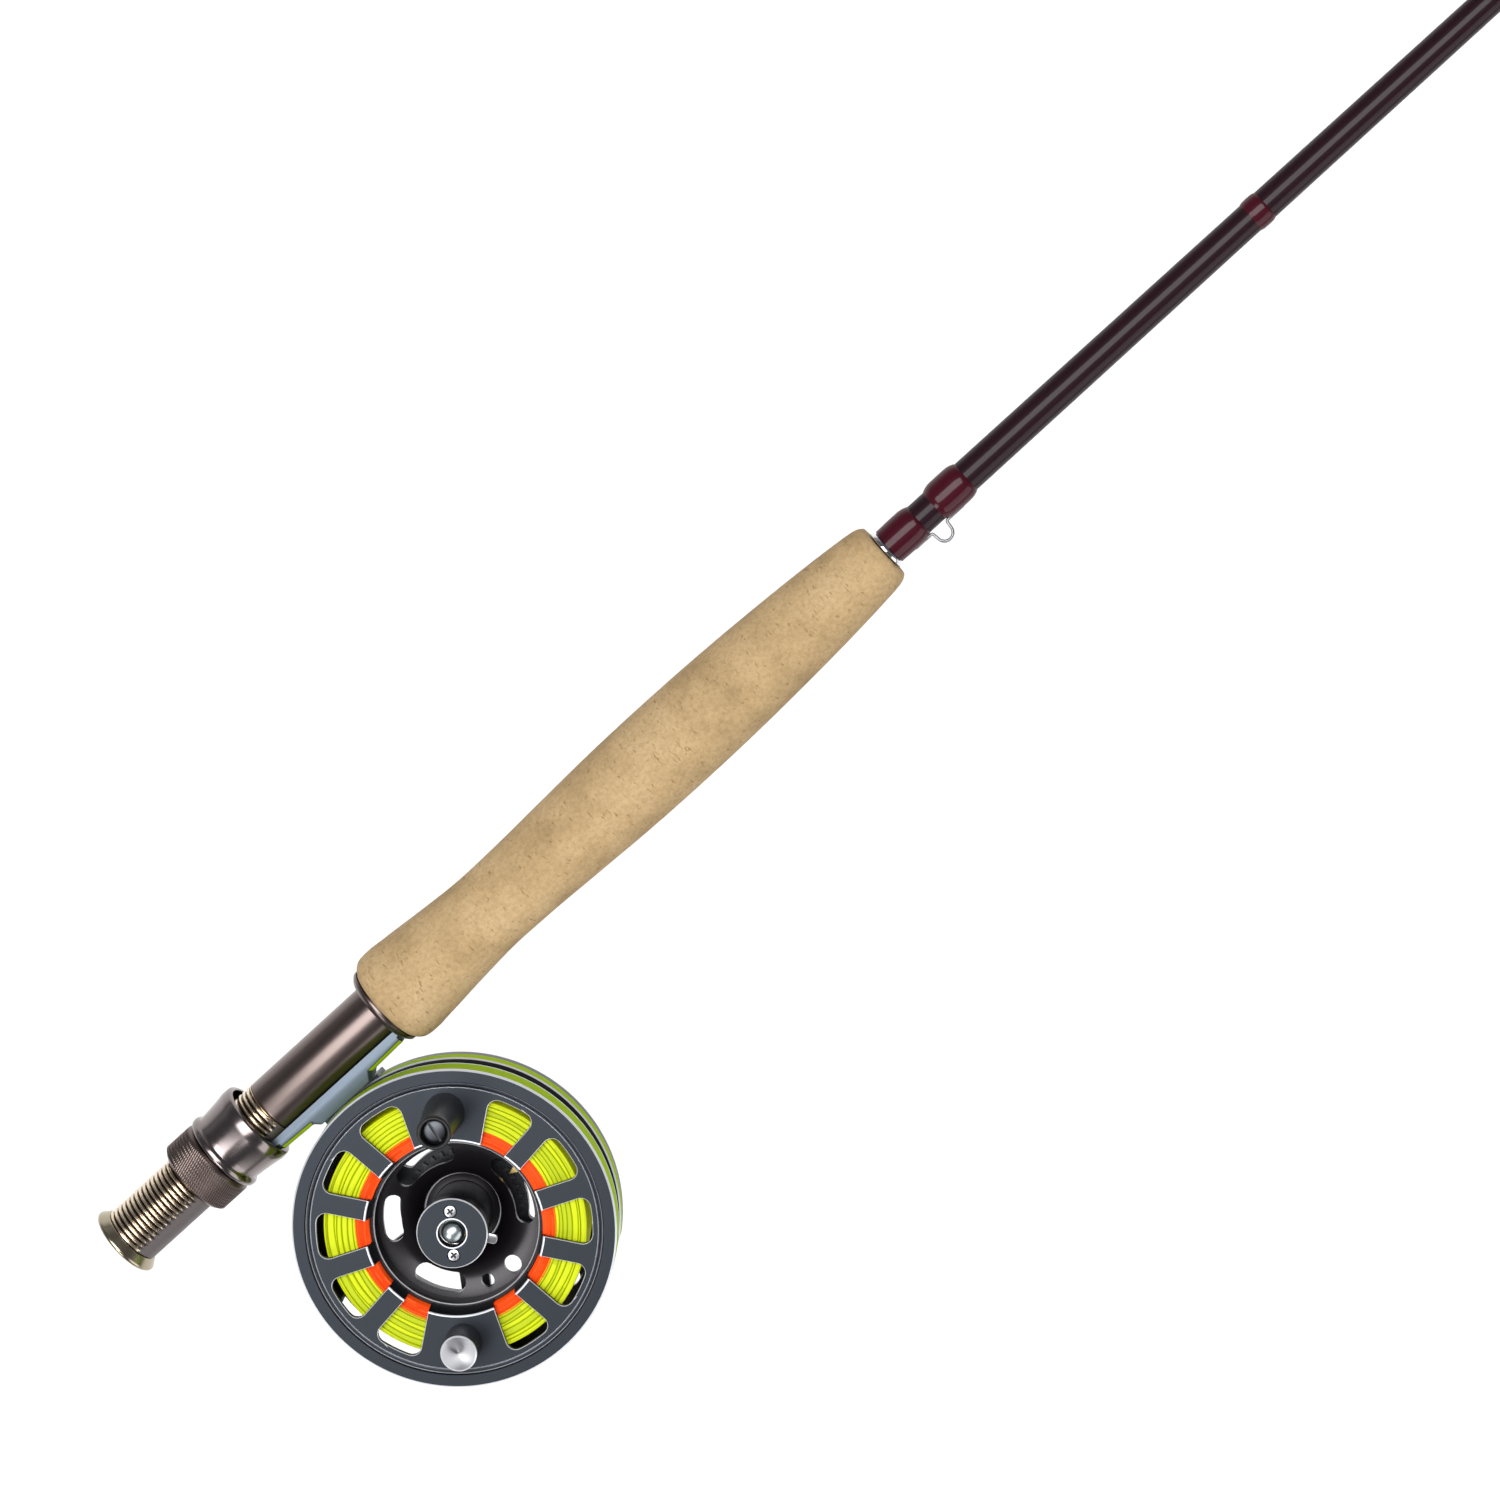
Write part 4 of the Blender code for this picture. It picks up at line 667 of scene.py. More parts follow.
def make_frame():
    back, edge, half_pad = -27.0, 5.0, 9.75
    # Ring bands: look 2 is a painted lime reflection on the ring's outer face; look 3 is painted shade on its front
    # face, its outer face behind the lime, its rounded back edge, most of its back face and its inner faces.
    profile = [(INNER_RIM_R, -14.8, 3), (43.1, -14.8, 1), (RIM_R, -15.2, 2)]
    profile += [(RIM_R, -19.4, 3), (RIM_R, -21.7, 3)]
    for k in range(1, 11):
        turn = math.pi / 2 * k / 10
        profile.append((RIM_R - edge * (1 - math.cos(turn)), back + edge * (1 - math.sin(turn)), 3))
    profile += [(15.8, back, 0), (15.0, -33.0, 0), (3.4, -33.0, 0), (3.4, -31.5, 0), (13.5, -31.5, 0)]
    profile += [(13.5, -24.5, 3), (INNER_RIM_R, -24.5, 3)]
    ring = lathe("frame", profile, [GUNMETAL, SILVER, LIME_REFLECTION, GUNMETAL_SHADE], sides=256)
    corners = [(-half_pad, 41.0), (half_pad, 41.0), (half_pad, 43.4), (-half_pad, 43.4)]
    pad = plate("pad", [rounded(corners, 0.3, 3)], -25.5, -15.5, [GUNMETAL], smooth=0)
    windows = [window(-35 + 60 * k, 17.6, 37.5, 60, 8.0, 3.0, 1.6) for k in range(6)]
    # The back windows' walls take the painted-shade gunmetal.
    ports = plate("ports", windows, back - 1, -23.5, [GUNMETAL_SHADE], smooth=0)
    cuts = []
    for first, last, inner, low in ((-88, -50, 40.5, -24.0), (-185, -140, 39.2, -28.0)):
        angles = [first + (last - first) * k / 40 for k in range(41)]
        outline = [polar(46, a) for a in angles] + [polar(inner, a) for a in reversed(angles)]
        cuts.append(plate("exit", [outline], low, -12.8, [SILVER], smooth=0))
    boolean(ring, [pad], "UNION")
    boolean(ring, [ports, *cuts])
    belong(ring, "rod_butt", "gunmetal", "reel_frame")


def make_foot():
    """The foot and its stem. Front and back faces are a little smaller than the middle, and the stem's reel
    side is square."""
    stem, draft, side_draft, half_width, edge, middle = 9.75, 1.1, 1.7, 6.0, -12.1, 0.5
    left, right, shoulder = -31.0 + draft, 32.0 - draft, stem + 0.6
    outline = [(left, -5.0), (left, -8.8), (-shoulder, -9.5), (-stem + draft, edge + 0.1)]
    outline += [(stem - draft, edge + 0.1), (shoulder, -9.5), (right, -8.8), (right, -5.0)]
    low, high = half_width - side_draft, half_width
    layers = [(-high, 0.0), (-low, draft), (low, draft), (high, 0.0)]
    centre = Vector((middle, -7.0))
    rings = []
    for z, grow in layers:
        ring = []
        for index, corner in enumerate(outline):
            here = Vector(corner)
            before = (here - Vector(outline[index - 1])).normalized()
            after = (Vector(outline[(index + 1) % len(outline)]) - here).normalized()
            out_a, out_b = Vector((-before.y, before.x)), Vector((-after.y, after.x))
            if out_a.dot(here - centre) < 0 and out_b.dot(here - centre) < 0:
                out_a, out_b = -out_a, -out_b
            both = (out_a + out_b).normalized()
            ring.append(here + both * (grow / max(both.dot(out_a), 0.5)))
        rings.append([(p.x, max(p.y, edge), z) for p in ring])
    points = [p for ring in rings for p in ring]
    count = len(outline)
    faces = [tuple(range(count)), tuple(reversed(range(3 * count, 4 * count)))]
    for level in range(3):
        for k in range(count):
            n = (k + 1) % count
            faces.append((level * count + k, (level + 1) * count + k, (level + 1) * count + n, level * count + n))
    mesh, edit = mesh_of("foot", points, faces)
    bmesh.ops.recalc_face_normals(edit, faces=edit.faces)
    # Upward faces on the reel side, beyond the stem, take the lime: a painted reflection.
    for face in edit.faces:
        along = abs(face.calc_center_median().x - middle)
        if face.normal.y < -0.3 and along > stem + 1.5 and face.normal.z > 0.2:
            face.material_index = 1
    bmesh.ops.bevel(edit, geom=list(edit.edges), offset=0.22, segments=2, affect="EDGES", profile=0.5)
    foot = finish_mesh("foot", close_edit(mesh, edit), Matrix.Translation((REEL_X * MM, 0, 0)), None, (),
                       [FOOT_GREY, LIME_REFLECTION], None, 30)
    # The barrel's saddle, and both ends cut down to slide under the hoods
    cuts = [lathe("saddle", [(0, 26), (8.72, 26), (8.72, 120), (0, 120)], [FOOT_GREY], ROD, sides=128, smooth=0)]
    for name, start, end in (("low", 26, 52.1), ("high", 95.4, 120)):
        profile = [(10.0, start), (30, start), (30, end), (10.0, end)]
        cuts.append(lathe(name, profile, [FOOT_GREY], ROD, sides=128, smooth=0))
    boolean(foot, cuts, smooth=30)
    belong(foot, "rod_butt", "foot", "reel_foot")


# Hub, cap, latch, spindle

def cross_screw(name, matrix, radius, top, bottom, body, cad):
    profile = [(0, top), (radius * 0.72, top), (radius * 0.93, top - 0.12), (radius, top - 0.35), (radius, top - 1.0)]
    profile += [(radius * 0.4, top - 1.0), (radius * 0.4, bottom), (0, bottom)]
    head = lathe(name, profile, [SCREW], matrix, 48)
    w, reach = radius * 0.17, radius * 0.62
    arms = [(w, w), (w, reach), (-w, reach), (-w, w), (-reach, w), (-reach, -w), (-w, -w), (-w, -reach)]
    arms += [(w, -reach), (w, -w), (reach, -w), (reach, w)]
    turned = [tuple(Matrix.Rotation(0.6, 2) @ Vector(p)) for p in arms]
    # The cross recess takes the black material: painted shade inside it.
    boolean(head, [plate("cross", [turned], top - 0.55, top + 0.5, [BLACK_SATIN_AND_SLOT_SHADE], matrix, smooth=0)])
    belong(head, body, "steel", cad)


def at_reel(radius, azimuth):
    return REEL @ Matrix.Rotation(math.radians(azimuth), 4, "Z") @ Matrix.Translation((radius * MM, 0, 0))


def make_hub():
    cap = [(3.85, 4.2, 1), (4.15, 4.2), (9.2, 4.2, 1), (9.5, 3.9, 1), (9.5, 3.7), (9.5, -0.4, 1), (9.35, -0.6, 1)]
    cap += [(8.7, -0.6), (8.7, 1.0), (3.8, 1.0, 2), (3.8, 4.15, 1)]
    # Painted shade: the centre bore's wall and the screw wells are near-black, and the latch notch's walls take the
    # darker gunmetal.
    cover = lathe("hub_cover", cap, [GUNMETAL, SILVER, PIT_SHADE], sides=128)
    sides = (HANDLE_AZ, HANDLE_AZ + 180)
    well = [(0, 6), (1.8, 6), (1.8, 3.1), (0.8, 3.1), (0.8, -2), (0, -2)]
    cuts = [lathe("seat", well, [PIT_SHADE], at_reel(CAP_SCREW_R, azimuth), 48, smooth=0) for azimuth in sides]
    along = REEL @ Matrix.Rotation(math.radians(LATCH_AZ), 4, "Z")
    notch = [(6.5, -2.0), (12.5, -2.0), (12.5, 2.0), (6.5, 2.0)]
    cuts.append(plate("notch", [notch], -0.8, 1.0, [GUNMETAL_SHADE], along, smooth=0))
    boolean(cover, cuts)
    belong(cover, "spool", "gunmetal", "hub_cap")
    for number, azimuth in enumerate(sides, 1):
        cross_screw(f"cap_screw_head_{number}", at_reel(CAP_SCREW_R, azimuth), 1.62, 4.25, -2.6, "spool",
                    f"cap_screw_{number}")
    turns = [math.radians(a) for a in range(5, 91, 5)]
    dome = [(0, 4.95)] + [(2.95 * math.sin(a), 2.7 + 2.25 * math.cos(a)) for a in turns]
    spindle = dome + [(3.1, 2.6), (3.1, 1.1), (2.6, 1.1), (2.6, -0.7), (3.1, -0.7), (3.1, -38.0), (0, -38.0)]
    lathe("spindle_pin", spindle, [BALL], sides=96, body="rod_butt", cad=("spindle",), slot="steel")
    side = [(-6.2, -3.0), (-4.5, -4.3), (5.2, -4.3), (7.1, -1.3), (11.9, -1.3)]
    radii = [0.5, 0.8, 1.2, 0.6, 1.1]
    lever = rounded(side + [(x, -y) for x, y in reversed(side)], radii + radii[::-1], 5)
    hole = []
    for centre, half_width, first in ((1.05, 3.35, -90), (-0.4, 2.35, 90)):
        turns = [math.radians(a) for a in range(first, first + 181, 10)]
        hole += [(centre + half_width * math.cos(a), 3.35 * math.sin(a)) for a in turns]
    plate("latch_plate", [lever, hole[::-1]], -0.5, 0.7, [STEEL, SILVER], along, chamfer=0.12, body="latch",
          cad=("latch_lever",), slot="gunmetal", chamfer_look=1)


# Handle and counterweight

def make_handle():
    place = at_reel(HANDLE_R, HANDLE_AZ)
    knob = [(1.7, -0.5), (5.1, -0.5), (5.35, -0.2), (5.4, 0.4), (5.28, 3.0), (5.1, 7.0), (4.9, 12.0)]
    knob += [(4.72, 17.0)]
    knob += [(4.62, 21.0), (4.56, 22.2), (4.4, 22.6), (4.15, 22.8), (3.75, 22.8, 0), (3.45, 22.5, 1)]
    knob += [(3.4, 20.0, 1), (1.7, 20.0, 0)]
    # The top recess's wall and floor are painted shade.
    lathe("handle_grip", knob, [KNOB_BLACK, PIT_SHADE], place, 96, "handle", ("handle_knob",), "black_plastic")
    pin = [(0, 21.2), (2.2, 21.2), (2.9, 20.9), (3.1, 20.5), (3.1, 20.3), (1.5, 20.3), (1.5, -0.5), (1.4, -0.8)]
    pin += [(1.4, -2.6), (0, -2.6)]
    screw = lathe("handle_screw", pin, [DARK_STEEL], place, 64)
    blade = [(-3.5, -0.35), (3.5, -0.35), (3.5, 0.35), (-3.5, 0.35)]
    turned = place @ Matrix.Rotation(0.5, 4, "Z")
    # The slot's walls take the black material: painted shade.
    slot_cut = plate("slot", [blade], 20.75, 22, [BLACK_SATIN_AND_SLOT_SHADE], turned, smooth=0)
    boolean(screw, [slot_cut])
    belong(screw, "spool", "steel", "handle_pin")
    place = at_reel(WEIGHT_R, HANDLE_AZ + 180)
    weight = [(0, 10.72), (0.35, 10.72), (0.6, 10.8), (4.45, 10.8, 1), (4.87, 10.4, 2), (4.87, -0.2, 2)]
    weight += [(4.7, -0.45, 2), (1.7, -0.5, 2), (1.7, 5.5, 2), (0, 5.5, 2)]
    face = shader("turned_face", (0.33, 0.33, 0.345), 0.38, 1.0)
    nodes, links, out = tree(face)
    tangent = nodes.new("ShaderNodeTangent")
    tangent.direction_type, tangent.axis = "RADIAL", "Z"
    links.new(tangent.outputs[0], out.inputs["Tangent"])
    out.inputs["Anisotropic"].default_value = 0.9
    looks = [face, SILVER, DARK_STEEL]
    lathe("counterweight_body", weight, looks, place, 96, "spool", ("counterweight",), "steel")


# Seat

def make_seat():
    body, slot = "rod_butt", "bronze_seat"
    cap = [(0, 0.0), (9.3, 0.0), (9.9, 0.12), (10.2, 0.4), (10.3, 0.75), (10.25, 1.05), (10.1, 1.25)]
    cap += [(8.95, 2.85), (8.75, 3.1), (8.6, 3.2), (4.7, 3.2), (4.7, 8.2), (0, 8.2)]
    lathe("butt_cap_turned", cap, [CAP_GOLD], ROD, 128, body, ("butt_cap",), slot, 50)

    def section(angle, r, xs, bore, start, end):
        """One lengthwise outline: the outside at xs, then the bore from the far end back."""
        outer = np.stack([r * math.cos(angle), r * math.sin(angle), xs], axis=1)
        inner = [[bore * math.cos(angle), bore * math.sin(angle), x] for x in (end, start)]
        return np.concatenate([outer, np.array(inner)])

    def threaded(name, start, end, fade_in, fade_out):
        """A helical V thread that fades out toward the reel, where the barrel has a flat for the foot."""
        per_turn, sides = 14, 144
        xs = np.arange(start, end + 1e-6, THREAD_PITCH / per_turn)
        rings, looks = [], []
        for s in range(sides):
            angle = 2 * math.pi * s / sides
            reel_side = math.degrees(math.acos(max(-1, min(1, -math.sin(angle)))))
            ragged = 7 * math.sin(7.3 * math.floor(start)) + 6 * np.sin(xs * 5.1) * np.sin(xs * 2.3 + s * 0.7)
            cover = np.clip((reel_side - 58 - ragged * 0.6) / 14, 0, 1)
            phase = (xs / THREAD_PITCH - s / sides) % 1.0
            groove = np.clip(1 - np.abs(phase - 0.5) * 2 / 0.74, 0, 1)
            ends = np.clip((xs - start) / fade_in, 0, 1) * np.clip((end - xs) / fade_out, 0, 1)
            r = THREAD_CREST - THREAD_DEPTH * groove**0.8 * cover * ends
            rings.append(section(angle, r, xs, SEAT_BORE, start, end))
            # Valley faces take the painted-shade copy; the other faces outside the flat take the painted-highlight
            # copy of the bronze.
            deep = (groove * ends > 0.42) & (cover > 0.25)
            flat = (cover < 0.5).astype(int) * 2
            looks.append([1 if d else int(f) for d, f in zip(deep, flat)] + [0, 0])
        mesh = grid_mesh(name, rings, True, None, looks)
        return finish_mesh(name, mesh, ROD, body, ("seat_barrel",), [THREAD_HIGHLIGHT, THREAD_VALLEY_SHADE, SMOOTH_ZONE], slot, 60)

    threaded("seat_thread", 3.5, 55.9, 0.6, 0.8)
    barrel = [(SEAT_BORE, 55.9), (8.0, 55.9), (8.2, 56.3), (8.3, 56.6), (8.3, 106.2), (SEAT_BORE, 106.2)]
    lathe("seat_tube", barrel, [BRONZE], ROD, 160, body, ("seat_barrel",), slot)

    sides = 480
    near, far = [RING_START, 26.52, 27.2], [35.55, 36.3, RING_END]
    xs = np.concatenate([near, np.linspace(27.35, 35.4, 56), far])
    base = np.interp(xs, near + [27.35, 35.4] + far, [9.3, 10.35, 11.1, 11.35, 11.35, 11.2, 10.8, 10.5])
    rings, looks = [], []
    for s in range(sides):
        angle = 2 * math.pi * s / sides
        knurled = np.clip((xs - 27.2) / 0.3, 0, 1) * np.clip((35.6 - xs) / 0.3, 0, 1)
        ridge = np.sin(RIDGES * angle + xs * 2 * math.pi / RIDGE_LEAD)
        cross = np.sin(RIDGES * angle - xs * 2 * math.pi / RIDGE_LEAD)
        r = base + knurled * (-0.11 + 0.085 * ridge + 0.03 * cross)
        rings.append(section(angle, r, xs, RING_BORE, RING_START, RING_END))
        # Faces in the knurl's valleys take the painted-shade copy.
        looks.append([1 if (k > 0.5 and v < -0.35) else 0 for k, v in zip(knurled, ridge)] + [0, 0])
    mesh = grid_mesh("lock_ring_knurled", rings, True, None, looks)
    looks = [BRONZE_KNURL, KNURL_VALLEY_SHADE]
    finish_mesh("lock_ring_knurled", mesh, ROD, "locking_ring", ("lock_ring",), looks, slot, 50)

    hood = [(8.7, 36.8), (10.9, 36.8), (11.35, 36.95), (11.7, 37.35), (11.8, 37.9), (11.72, 38.5), (11.4, 38.95)]
    hood += [(10.95, 39.25), (10.85, 39.6), (10.95, 41.0), (11.15, 43.0), (11.45, 45.5), (11.75, 47.6), (11.88, 48.4)]
    hood += [(11.9, 49.0), (11.85, 49.8), (11.75, 50.5), (11.6, 50.85), (11.4, 51.0), (10.5, 51.25), (10.3, 51.1)]
    hood += [(10.3, 40.2), (8.7, 40.2)]
    lathe("sliding_hood_turned", hood, [HOOD], ROD, 160, "hood", ("sliding_hood",), slot, 50)
    fixed = [(10.3, 96.2), (10.5, 96.2), (10.8, 96.35), (11.8, 97.4), (11.85, 97.8), (11.8, 98.2), (11.0, 98.2)]
    fixed += [(11.0, 108.2), (SEAT_BORE, 108.2), (SEAT_BORE, 106.5), (10.3, 106.5)]
    lathe("fixed_hood_turned", fixed, [BRONZE], ROD, 160, body, ("fixed_hood",), slot, 50)


def make_grip():
    end = GRIP_START + GRIP_LENGTH
    shares = [0.0, 0.004, 0.010, 0.022, 0.060, 0.130, 0.200, 0.270, 0.370, 0.480, 0.570, 0.680, 0.800, 0.900, 0.955]
    radii = [11.6, 12.5, 13.3, 13.80, 13.45, 12.35, 11.48, 11.55, 12.20, 12.90, 13.05, 12.80, 11.95, 10.85, 10.0]
    shares += [0.975, 0.988, 0.996, 1.0]
    radii += [9.62, 9.2, 8.6, 8.0]
    spans = [np.linspace(0, 0.03, 14), np.linspace(0.03, 0.95, 90), np.linspace(0.95, 1, 16)]
    fine = np.unique(np.concatenate(spans))
    xs, ys = np.array(shares), np.array(radii)
    # A smooth curve through the stations, with the mean slope at each
    slope = np.gradient(ys, xs)
    k = np.clip(np.searchsorted(xs, fine) - 1, 0, len(xs) - 2)
    h = xs[k + 1] - xs[k]
    t = (fine - xs[k]) / h
    values = ((1 + 2 * t) * (1 - t) ** 2 * ys[k] + t * (1 - t) ** 2 * h * slope[k]
              + t**2 * (3 - 2 * t) * ys[k + 1] + t**2 * (t - 1) * h * slope[k + 1])
    values = np.minimum(values, 13.82)
    profile = [(float(r), float(GRIP_START + s * GRIP_LENGTH)) for s, r in zip(fine, values)]
    profile += [(4.85, end), (SEAT_BORE, 108.6), (11.3, 108.6), (11.3, GRIP_START)]
    lathe("grip", profile, [CORK], ROD, 160, "rod_butt", ("cork_grip",), "cork", 50)
    check = [(4.85, 278.85), (5.75, 278.85), (5.85, 279.1), (5.7, 279.6), (5.45, 280.0), (4.85, 280.0)]
    lathe("check_ring", check, [CHROME], ROD, 128, "rod_butt", ("winding_check",), "steel", 50)


# Blank, ferrules, wraps and guides

def body_at(x):
    return SECTION_BODIES[sum(x > start for start in SECTION_STARTS)]


def make_blanks():
    ends = [start + SLEEVE_LENGTH for start in SECTION_STARTS] + [TIP_END - 2]

    def stations(a, b):
        return [a] + [p[0] for p in TAPER if a < p[0] < b] + [b]

    def bore(a, b):
        return [(blank_radius(x) * BORE_SHARE, x) for x in reversed(stations(a, b))]

    first = [(blank_radius(x), x) for x in stations(8.5, ends[0])] + bore(8.5, ends[0])
    lathe("blank_1", first, [BLANK], ROD, 96, "rod_butt", ("blank_section_1",), "blank", 40)
    gap, wall = 0.15, 0.7
    for number, start in enumerate(SECTION_STARTS, 1):
        end, body = ends[number], SECTION_BODIES[number]
        socket = start + SLEEVE_LENGTH + 0.6
        blend = socket + 35
        outer = [(blank_radius(start) + 0.55, start), (blank_radius(start) + gap + wall, start + 0.25)]
        outer += [(blank_radius(socket) + gap + wall, socket)]
        for k in range(1, 8):
            t = k / 8
            ease = 1 - t * t * (3 - 2 * t)
            x = socket + (blend - socket) * t
            outer.append((blank_radius(x) + (gap + wall) * ease, x))
        outer += [(blank_radius(x), x) for x in stations(blend, end)]
        inner = bore(socket, end) + [(blank_radius(x) + gap, x) for x in (socket, start)]
        cad = (f"blank_section_{number + 1}",)
        lathe(f"blank_{number + 1}", outer + inner, [BLANK], ROD, 72, body, cad, "blank", 40)
        low = blank_radius(start) + gap + wall + 0.2
        x0, x1 = start + 0.8, start + 24.8
        wrap = [(low, x0), (low + 0.3, x0 + 0.1), (low + 0.45, x0 + 0.6), (low + 0.45, x1 - 2.5)]
        wrap += [(low + 0.35, x1 - 1.2), (low + 0.05, x1), (low - 0.1, x1), (low - 0.1, x0)]
        cad = (f"ferrule_wrap_{number}",)
        lathe(f"ferrule_thread_{number}", wrap, [WRAP], ROD, 72, body, cad, "wrap", 60)


def wrap_profile(start, end, height, start_full=False):
    inner = blank_radius(start) + 0.02
    points = [(inner - 0.1, start), (inner + (height * 0.9 if start_full else 0.02), start)]
    ramp_length = min((end - start) * 0.3, 3.0)
    for k in range(1, 8):
        t = k / 8
        if not start_full:
            points.append((inner + height * math.sin(math.pi / 2 * t) ** 0.8, start + ramp_length * t))
    middle = (start + end) / 2
    points.append((inner + height, start + ramp_length))
    points.append((inner + height * 1.06, middle))
    points.append((inner + height, end - ramp_length))
    for k in range(1, 8):
        t = k / 8
        points.append((inner + height * math.cos(math.pi / 2 * t) ** 0.8, end - ramp_length + ramp_length * t))
    points += [(blank_radius(end) + 0.01, end), (blank_radius(end) - 0.1, end)]
    return points


def torus(name, radius, wire_r, half_width, steps, look, place, sides, body, cad):
    turns = np.linspace(0, 2 * math.pi, steps, endpoint=False)
    profile = [(radius + wire_r * math.cos(a), half_width * math.sin(a)) for a in turns]
    lathe(name, profile, [look], place, sides, body, cad, "steel", 180)


def foot_wrap(name, x, side, near, far, height, sides, body, cad):
    """The thread over one foot of a guide at x."""
    start, end = sorted((x + side * near, x + side * far))
    lathe(name, wrap_profile(start, end, height), [WRAP], ROD, sides, body, cad, "wrap", 60)


def make_guides():
    from_tip = (115, 245, 395, 565, 760, 985, 1240, 1520)
    heights = (5.0, 5.3, 5.6, 6.0, 6.4, 6.8, 7.3, 7.8)
    for number, (distance, height) in enumerate(zip(from_tip, heights), 1):
        x, half = TIP_END - distance, height
        surface = blank_radius(x) + 0.2 + 0.38
        path = [(x - half - 8.5, -surface, 0), (x - half - 3.0, -surface, 0)]
        for step in range(25):
            t = step / 24
            rise, sway = math.sin(math.pi * t) ** 0.8, 0.42 * height * math.sin(2 * math.pi * t)
            path.append((x - half + 2 * half * t, -surface - rise * height, sway))
        path += [(x + half + 3.0, -surface, 0), (x + half + 8.5, -surface, 0)]
        cad = (f"snake_guide_{number}",)
        wire(f"snake_wire_{number}", path, 0.38, WIRE_STEEL, body_at(x), cad, 4)
        for side, label in ((-1, "low"), (1, "high")):
            name = f"snake_wrap_{number}_{label}"
            foot_wrap(name, x, side, half + 0.4, half + 10.5, 0.72, 48, body_at(x), cad)
    x, body, cad = 775.0, "section_2", ("stripping_guide",)
    surface = blank_radius(x) + 0.7
    axis_y = -surface - 12.5
    place = Matrix.Translation((x * MM, axis_y * MM, 0)) @ ROD
    torus("stripping_frame", 5.9, 0.9, 0.9, 24, CHROME, place, 96, body, cad)
    torus("stripping_insert", 5.15, 0.42, 1.05, 24, BLACK_GLOSS, place, 96, body, cad)
    for side in (-1, 1):
        for lean in (-1, 1):
            path = [(x, axis_y, lean * 5.9), (x + side * 2.0, axis_y + 1.5, lean * 5.9)]
            path += [(x + side * 6.0, axis_y + 7.0, lean * 3.2), (x + side * 10.0, -surface - 0.3, lean * 0.6)]
            path += [(x + side * 19.0, -surface, lean * 0.3)]
            wire(f"stripping_leg_{side}_{lean}", path, 0.5, CHROME, body, cad, 4)
        foot_wrap(f"stripping_wrap_{side}", x, side, 10.0, 21.0, 1.05, 64, body, cad)
    tube = blank_radius(2732) + 0.15
    tip = [(0, TIP_END), (tube + 0.2, TIP_END), (tube + 0.4, TIP_END - 0.2), (tube + 0.4, 2732.0), (tube, 2732.0)]
    tip += [(tube, TIP_END - 1.5), (0, TIP_END - 1.5)]
    lathe("tip_tube", tip, [CHROME], ROD, 48, "section_4", ("tip_top",), "steel", 50)
    turn = Matrix.Rotation(math.radians(20), 4, "Z")
    place = Matrix.Translation(((TIP_END - 1) * MM, (-tube - 3.1) * MM, 0)) @ turn @ ROD
    torus("tip_loop", 3.0, 0.45, 0.45, 16, CHROME, place, 64, "section_4", ("tip_top",))


def make_keeper():
    x, half, drop = 293.5, 2.4, 4.2
    surface = blank_radius(x) + 0.2 + 0.42
    path = [(x - half - 6, -surface, 0), (x - half - 2.0, -surface, 0), (x - half - 0.6, -surface, 0)]
    for step in range(13):
        t = step / 12
        rise = math.sin(math.pi * t) ** 0.55
        path.append((x - half * math.cos(math.pi * t), -surface - rise * drop, 0))
    path += [(x + half + 0.6, -surface, 0), (x + half + 2.0, -surface, 0), (x + half + 6, -surface, 0)]
    wire("keeper_wire", path, 0.42, WIRE_STEEL, "rod_butt", ("hook_keeper",), 5)
    lower = wrap_profile(280.3, x - half - 0.3, 0.75, True)
    lathe("keeper_wrap_low", lower, [WRAP], ROD, 96, "rod_butt", ("hook_keeper",), "wrap", 60)
    upper = wrap_profile(x + half + 0.4, x + 14.0, 0.86)
    lathe("keeper_wrap_high", upper, [WRAP], ROD, 96, "rod_butt", ("hook_keeper",), "wrap", 60)
    lathe("trim_wrap", wrap_profile(406.4, 411.4, 0.32), [WRAP], ROD, 96, "rod_butt", ("trim_band",), "wrap", 60)


def repaint(look, *names):
    for name in names:
        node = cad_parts[name]
        node.data.materials.clear()
        node.data.materials.append(look)


make_spool()
make_line()
make_frame()
make_foot()
make_hub()
make_handle()
make_seat()
make_grip()
make_blanks()
make_guides()
make_keeper()
repaint(CHROME, "foot_screw_1", "foot_screw_2", "spring_washer", "pressure_plate", "clutch_bearing", "spindle_clip",
        "latch_spring", "pawl_pin", "pawl_spring", "weight_stud")
repaint(BRASS, "spool_bearing", "click_pawl")
repaint(DRAG_CORK, "drag_disc")
repaint(BLACK_SATIN_AND_SLOT_SHADE, "drive_hub", "drag_knob")

# Floor, world, light and camera

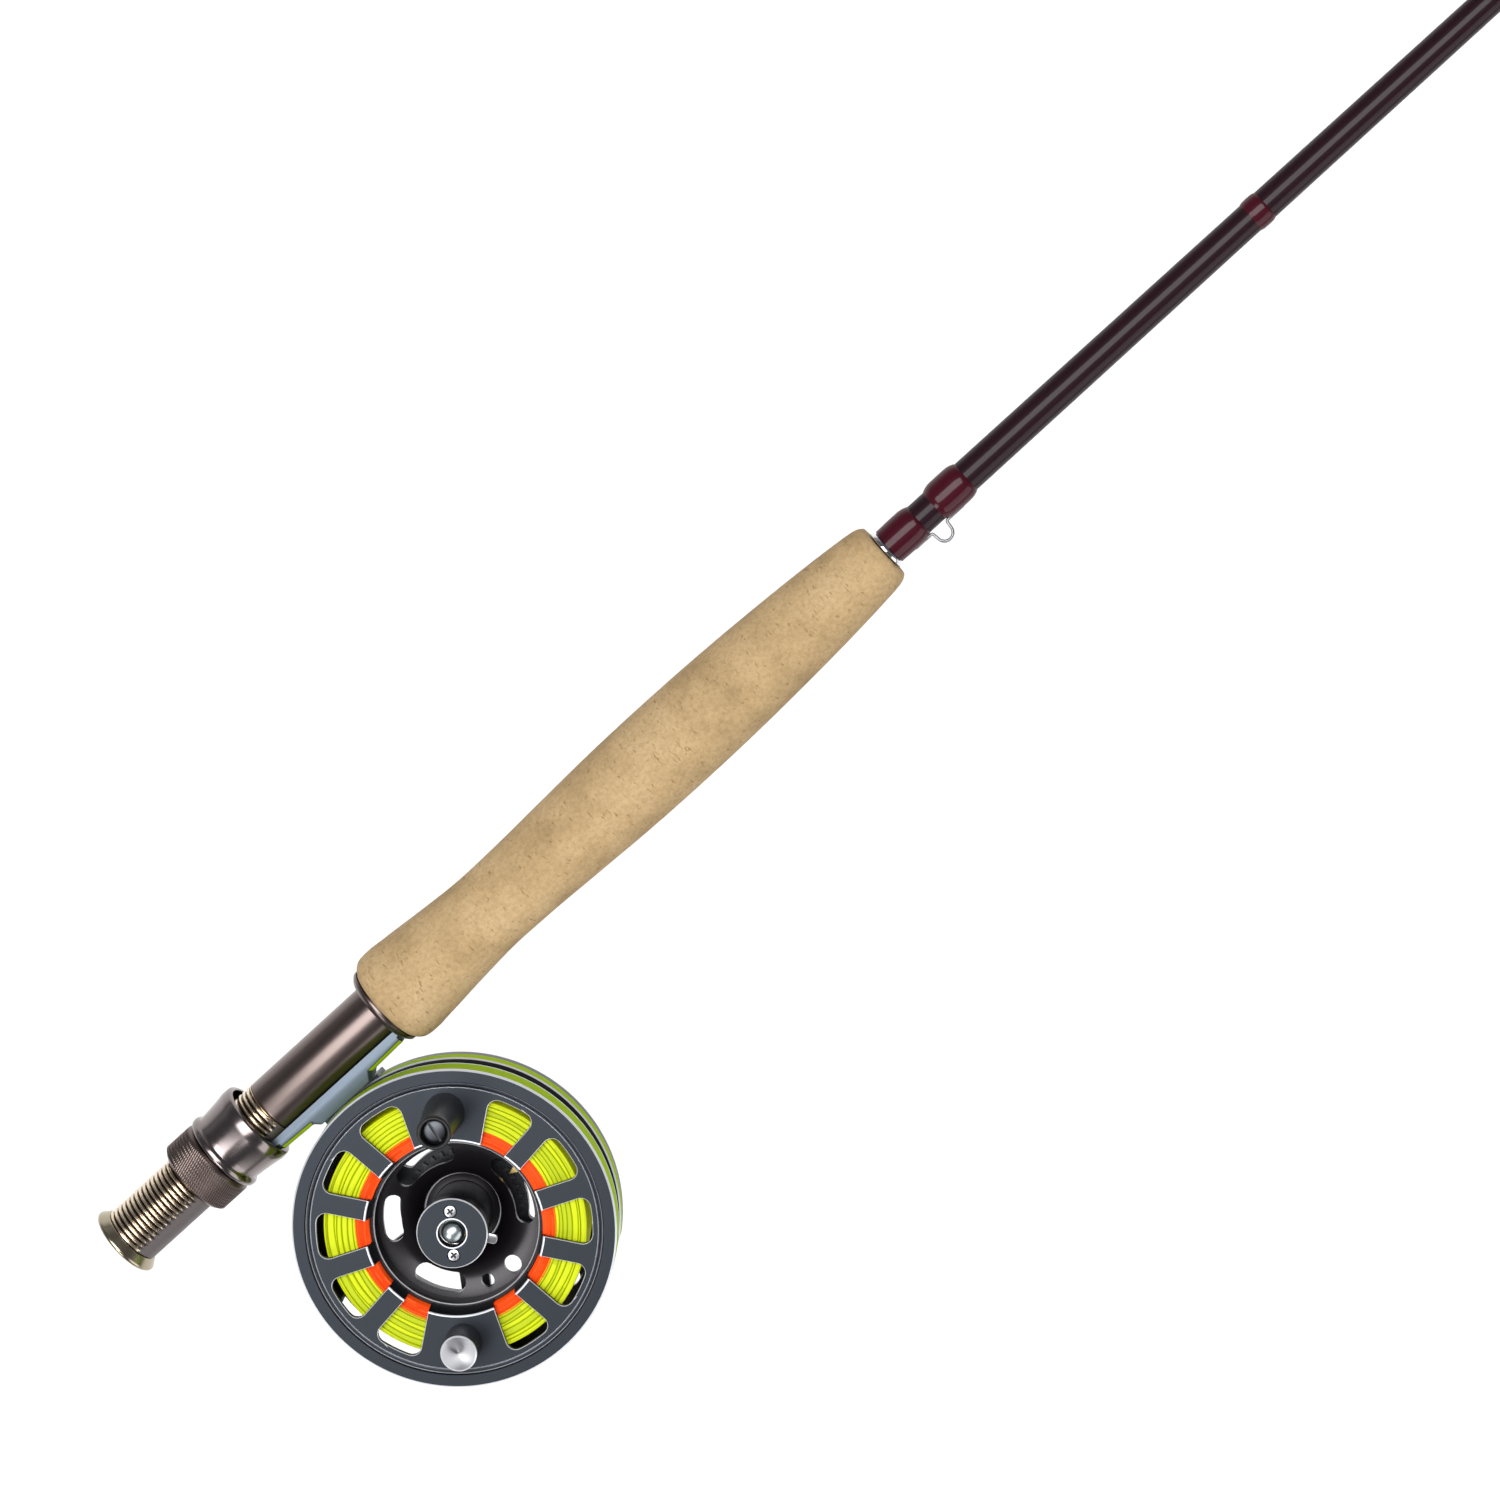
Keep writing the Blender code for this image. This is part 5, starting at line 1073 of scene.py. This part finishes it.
floor_material = shader("floor", (0.93, 0.93, 0.93), 0.9, specular=0.0)
bpy.ops.mesh.primitive_plane_add(size=30, location=(0.5, 0, -0.36))
floor = bpy.context.object
floor.name = "floor"
floor.data.materials.append(floor_material)

world = bpy.data.worlds.new("studio")
bpy.context.scene.world = world
world.use_nodes = True
nodes, links = world.node_tree.nodes, world.node_tree.links
background = nodes["Background"]
place = nodes.new("ShaderNodeTexCoord")
split = nodes.new("ShaderNodeSeparateXYZ")
links.new(place.outputs["Generated"], split.inputs[0])
height = ramp(nodes, [(0.0, (0.42, 0.42, 0.43)), (0.12, (0.28, 0.28, 0.29)), (0.35, (0.12, 0.12, 0.13)),
                      (1.0, (0.09, 0.09, 0.10))])
links.new(split.outputs["Z"], height.inputs["Fac"])
links.new(height.outputs[0], background.inputs["Color"])
background.inputs["Strength"].default_value = 1.0


def area(name, place, target, size, power):
    data = bpy.data.lights.new(name, "AREA")
    data.shape = "RECTANGLE"
    data.size, data.size_y = size
    data.energy = power
    light = bpy.data.objects.new(name, data)
    bpy.context.scene.collection.objects.link(light)
    light.location = place
    light.rotation_euler = (Vector(target) - Vector(place)).to_track_quat("-Z", "Y").to_euler()


area("overhead", (0.25, 0.42, 1.9), (0.2, 0, 0), (2.6, 1.25), 58)
area("low_right", (0.3, -2.0, 0.8), (0.2, 0, 0), (2.6, 1.5), 22)
area("left_end", (-1.25, -0.25, 1.15), (0.07, -0.05, 0), (0.7, 0.7), 9)

camera_data = bpy.data.cameras.new("camera")
camera_data.sensor_width = 36
camera_data.lens = 92.42
camera_data.clip_start = 0.05
camera = bpy.data.objects.new("camera", camera_data)
bpy.context.scene.collection.objects.link(camera)
right, up = Vector((0.7355, -0.6762, -0.0423)), Vector((0.6666, 0.7334, -0.1329))
back = right.cross(up).normalized()
up = back.cross(right).normalized()
right.normalize()
turn = Matrix((right, up, back)).transposed().to_4x4()
camera.matrix_world = Matrix.Translation((0.34004, 0.05580, 1.00883)) @ turn
bpy.context.scene.camera = camera
bpy.context.scene.view_settings.view_transform = "Standard"
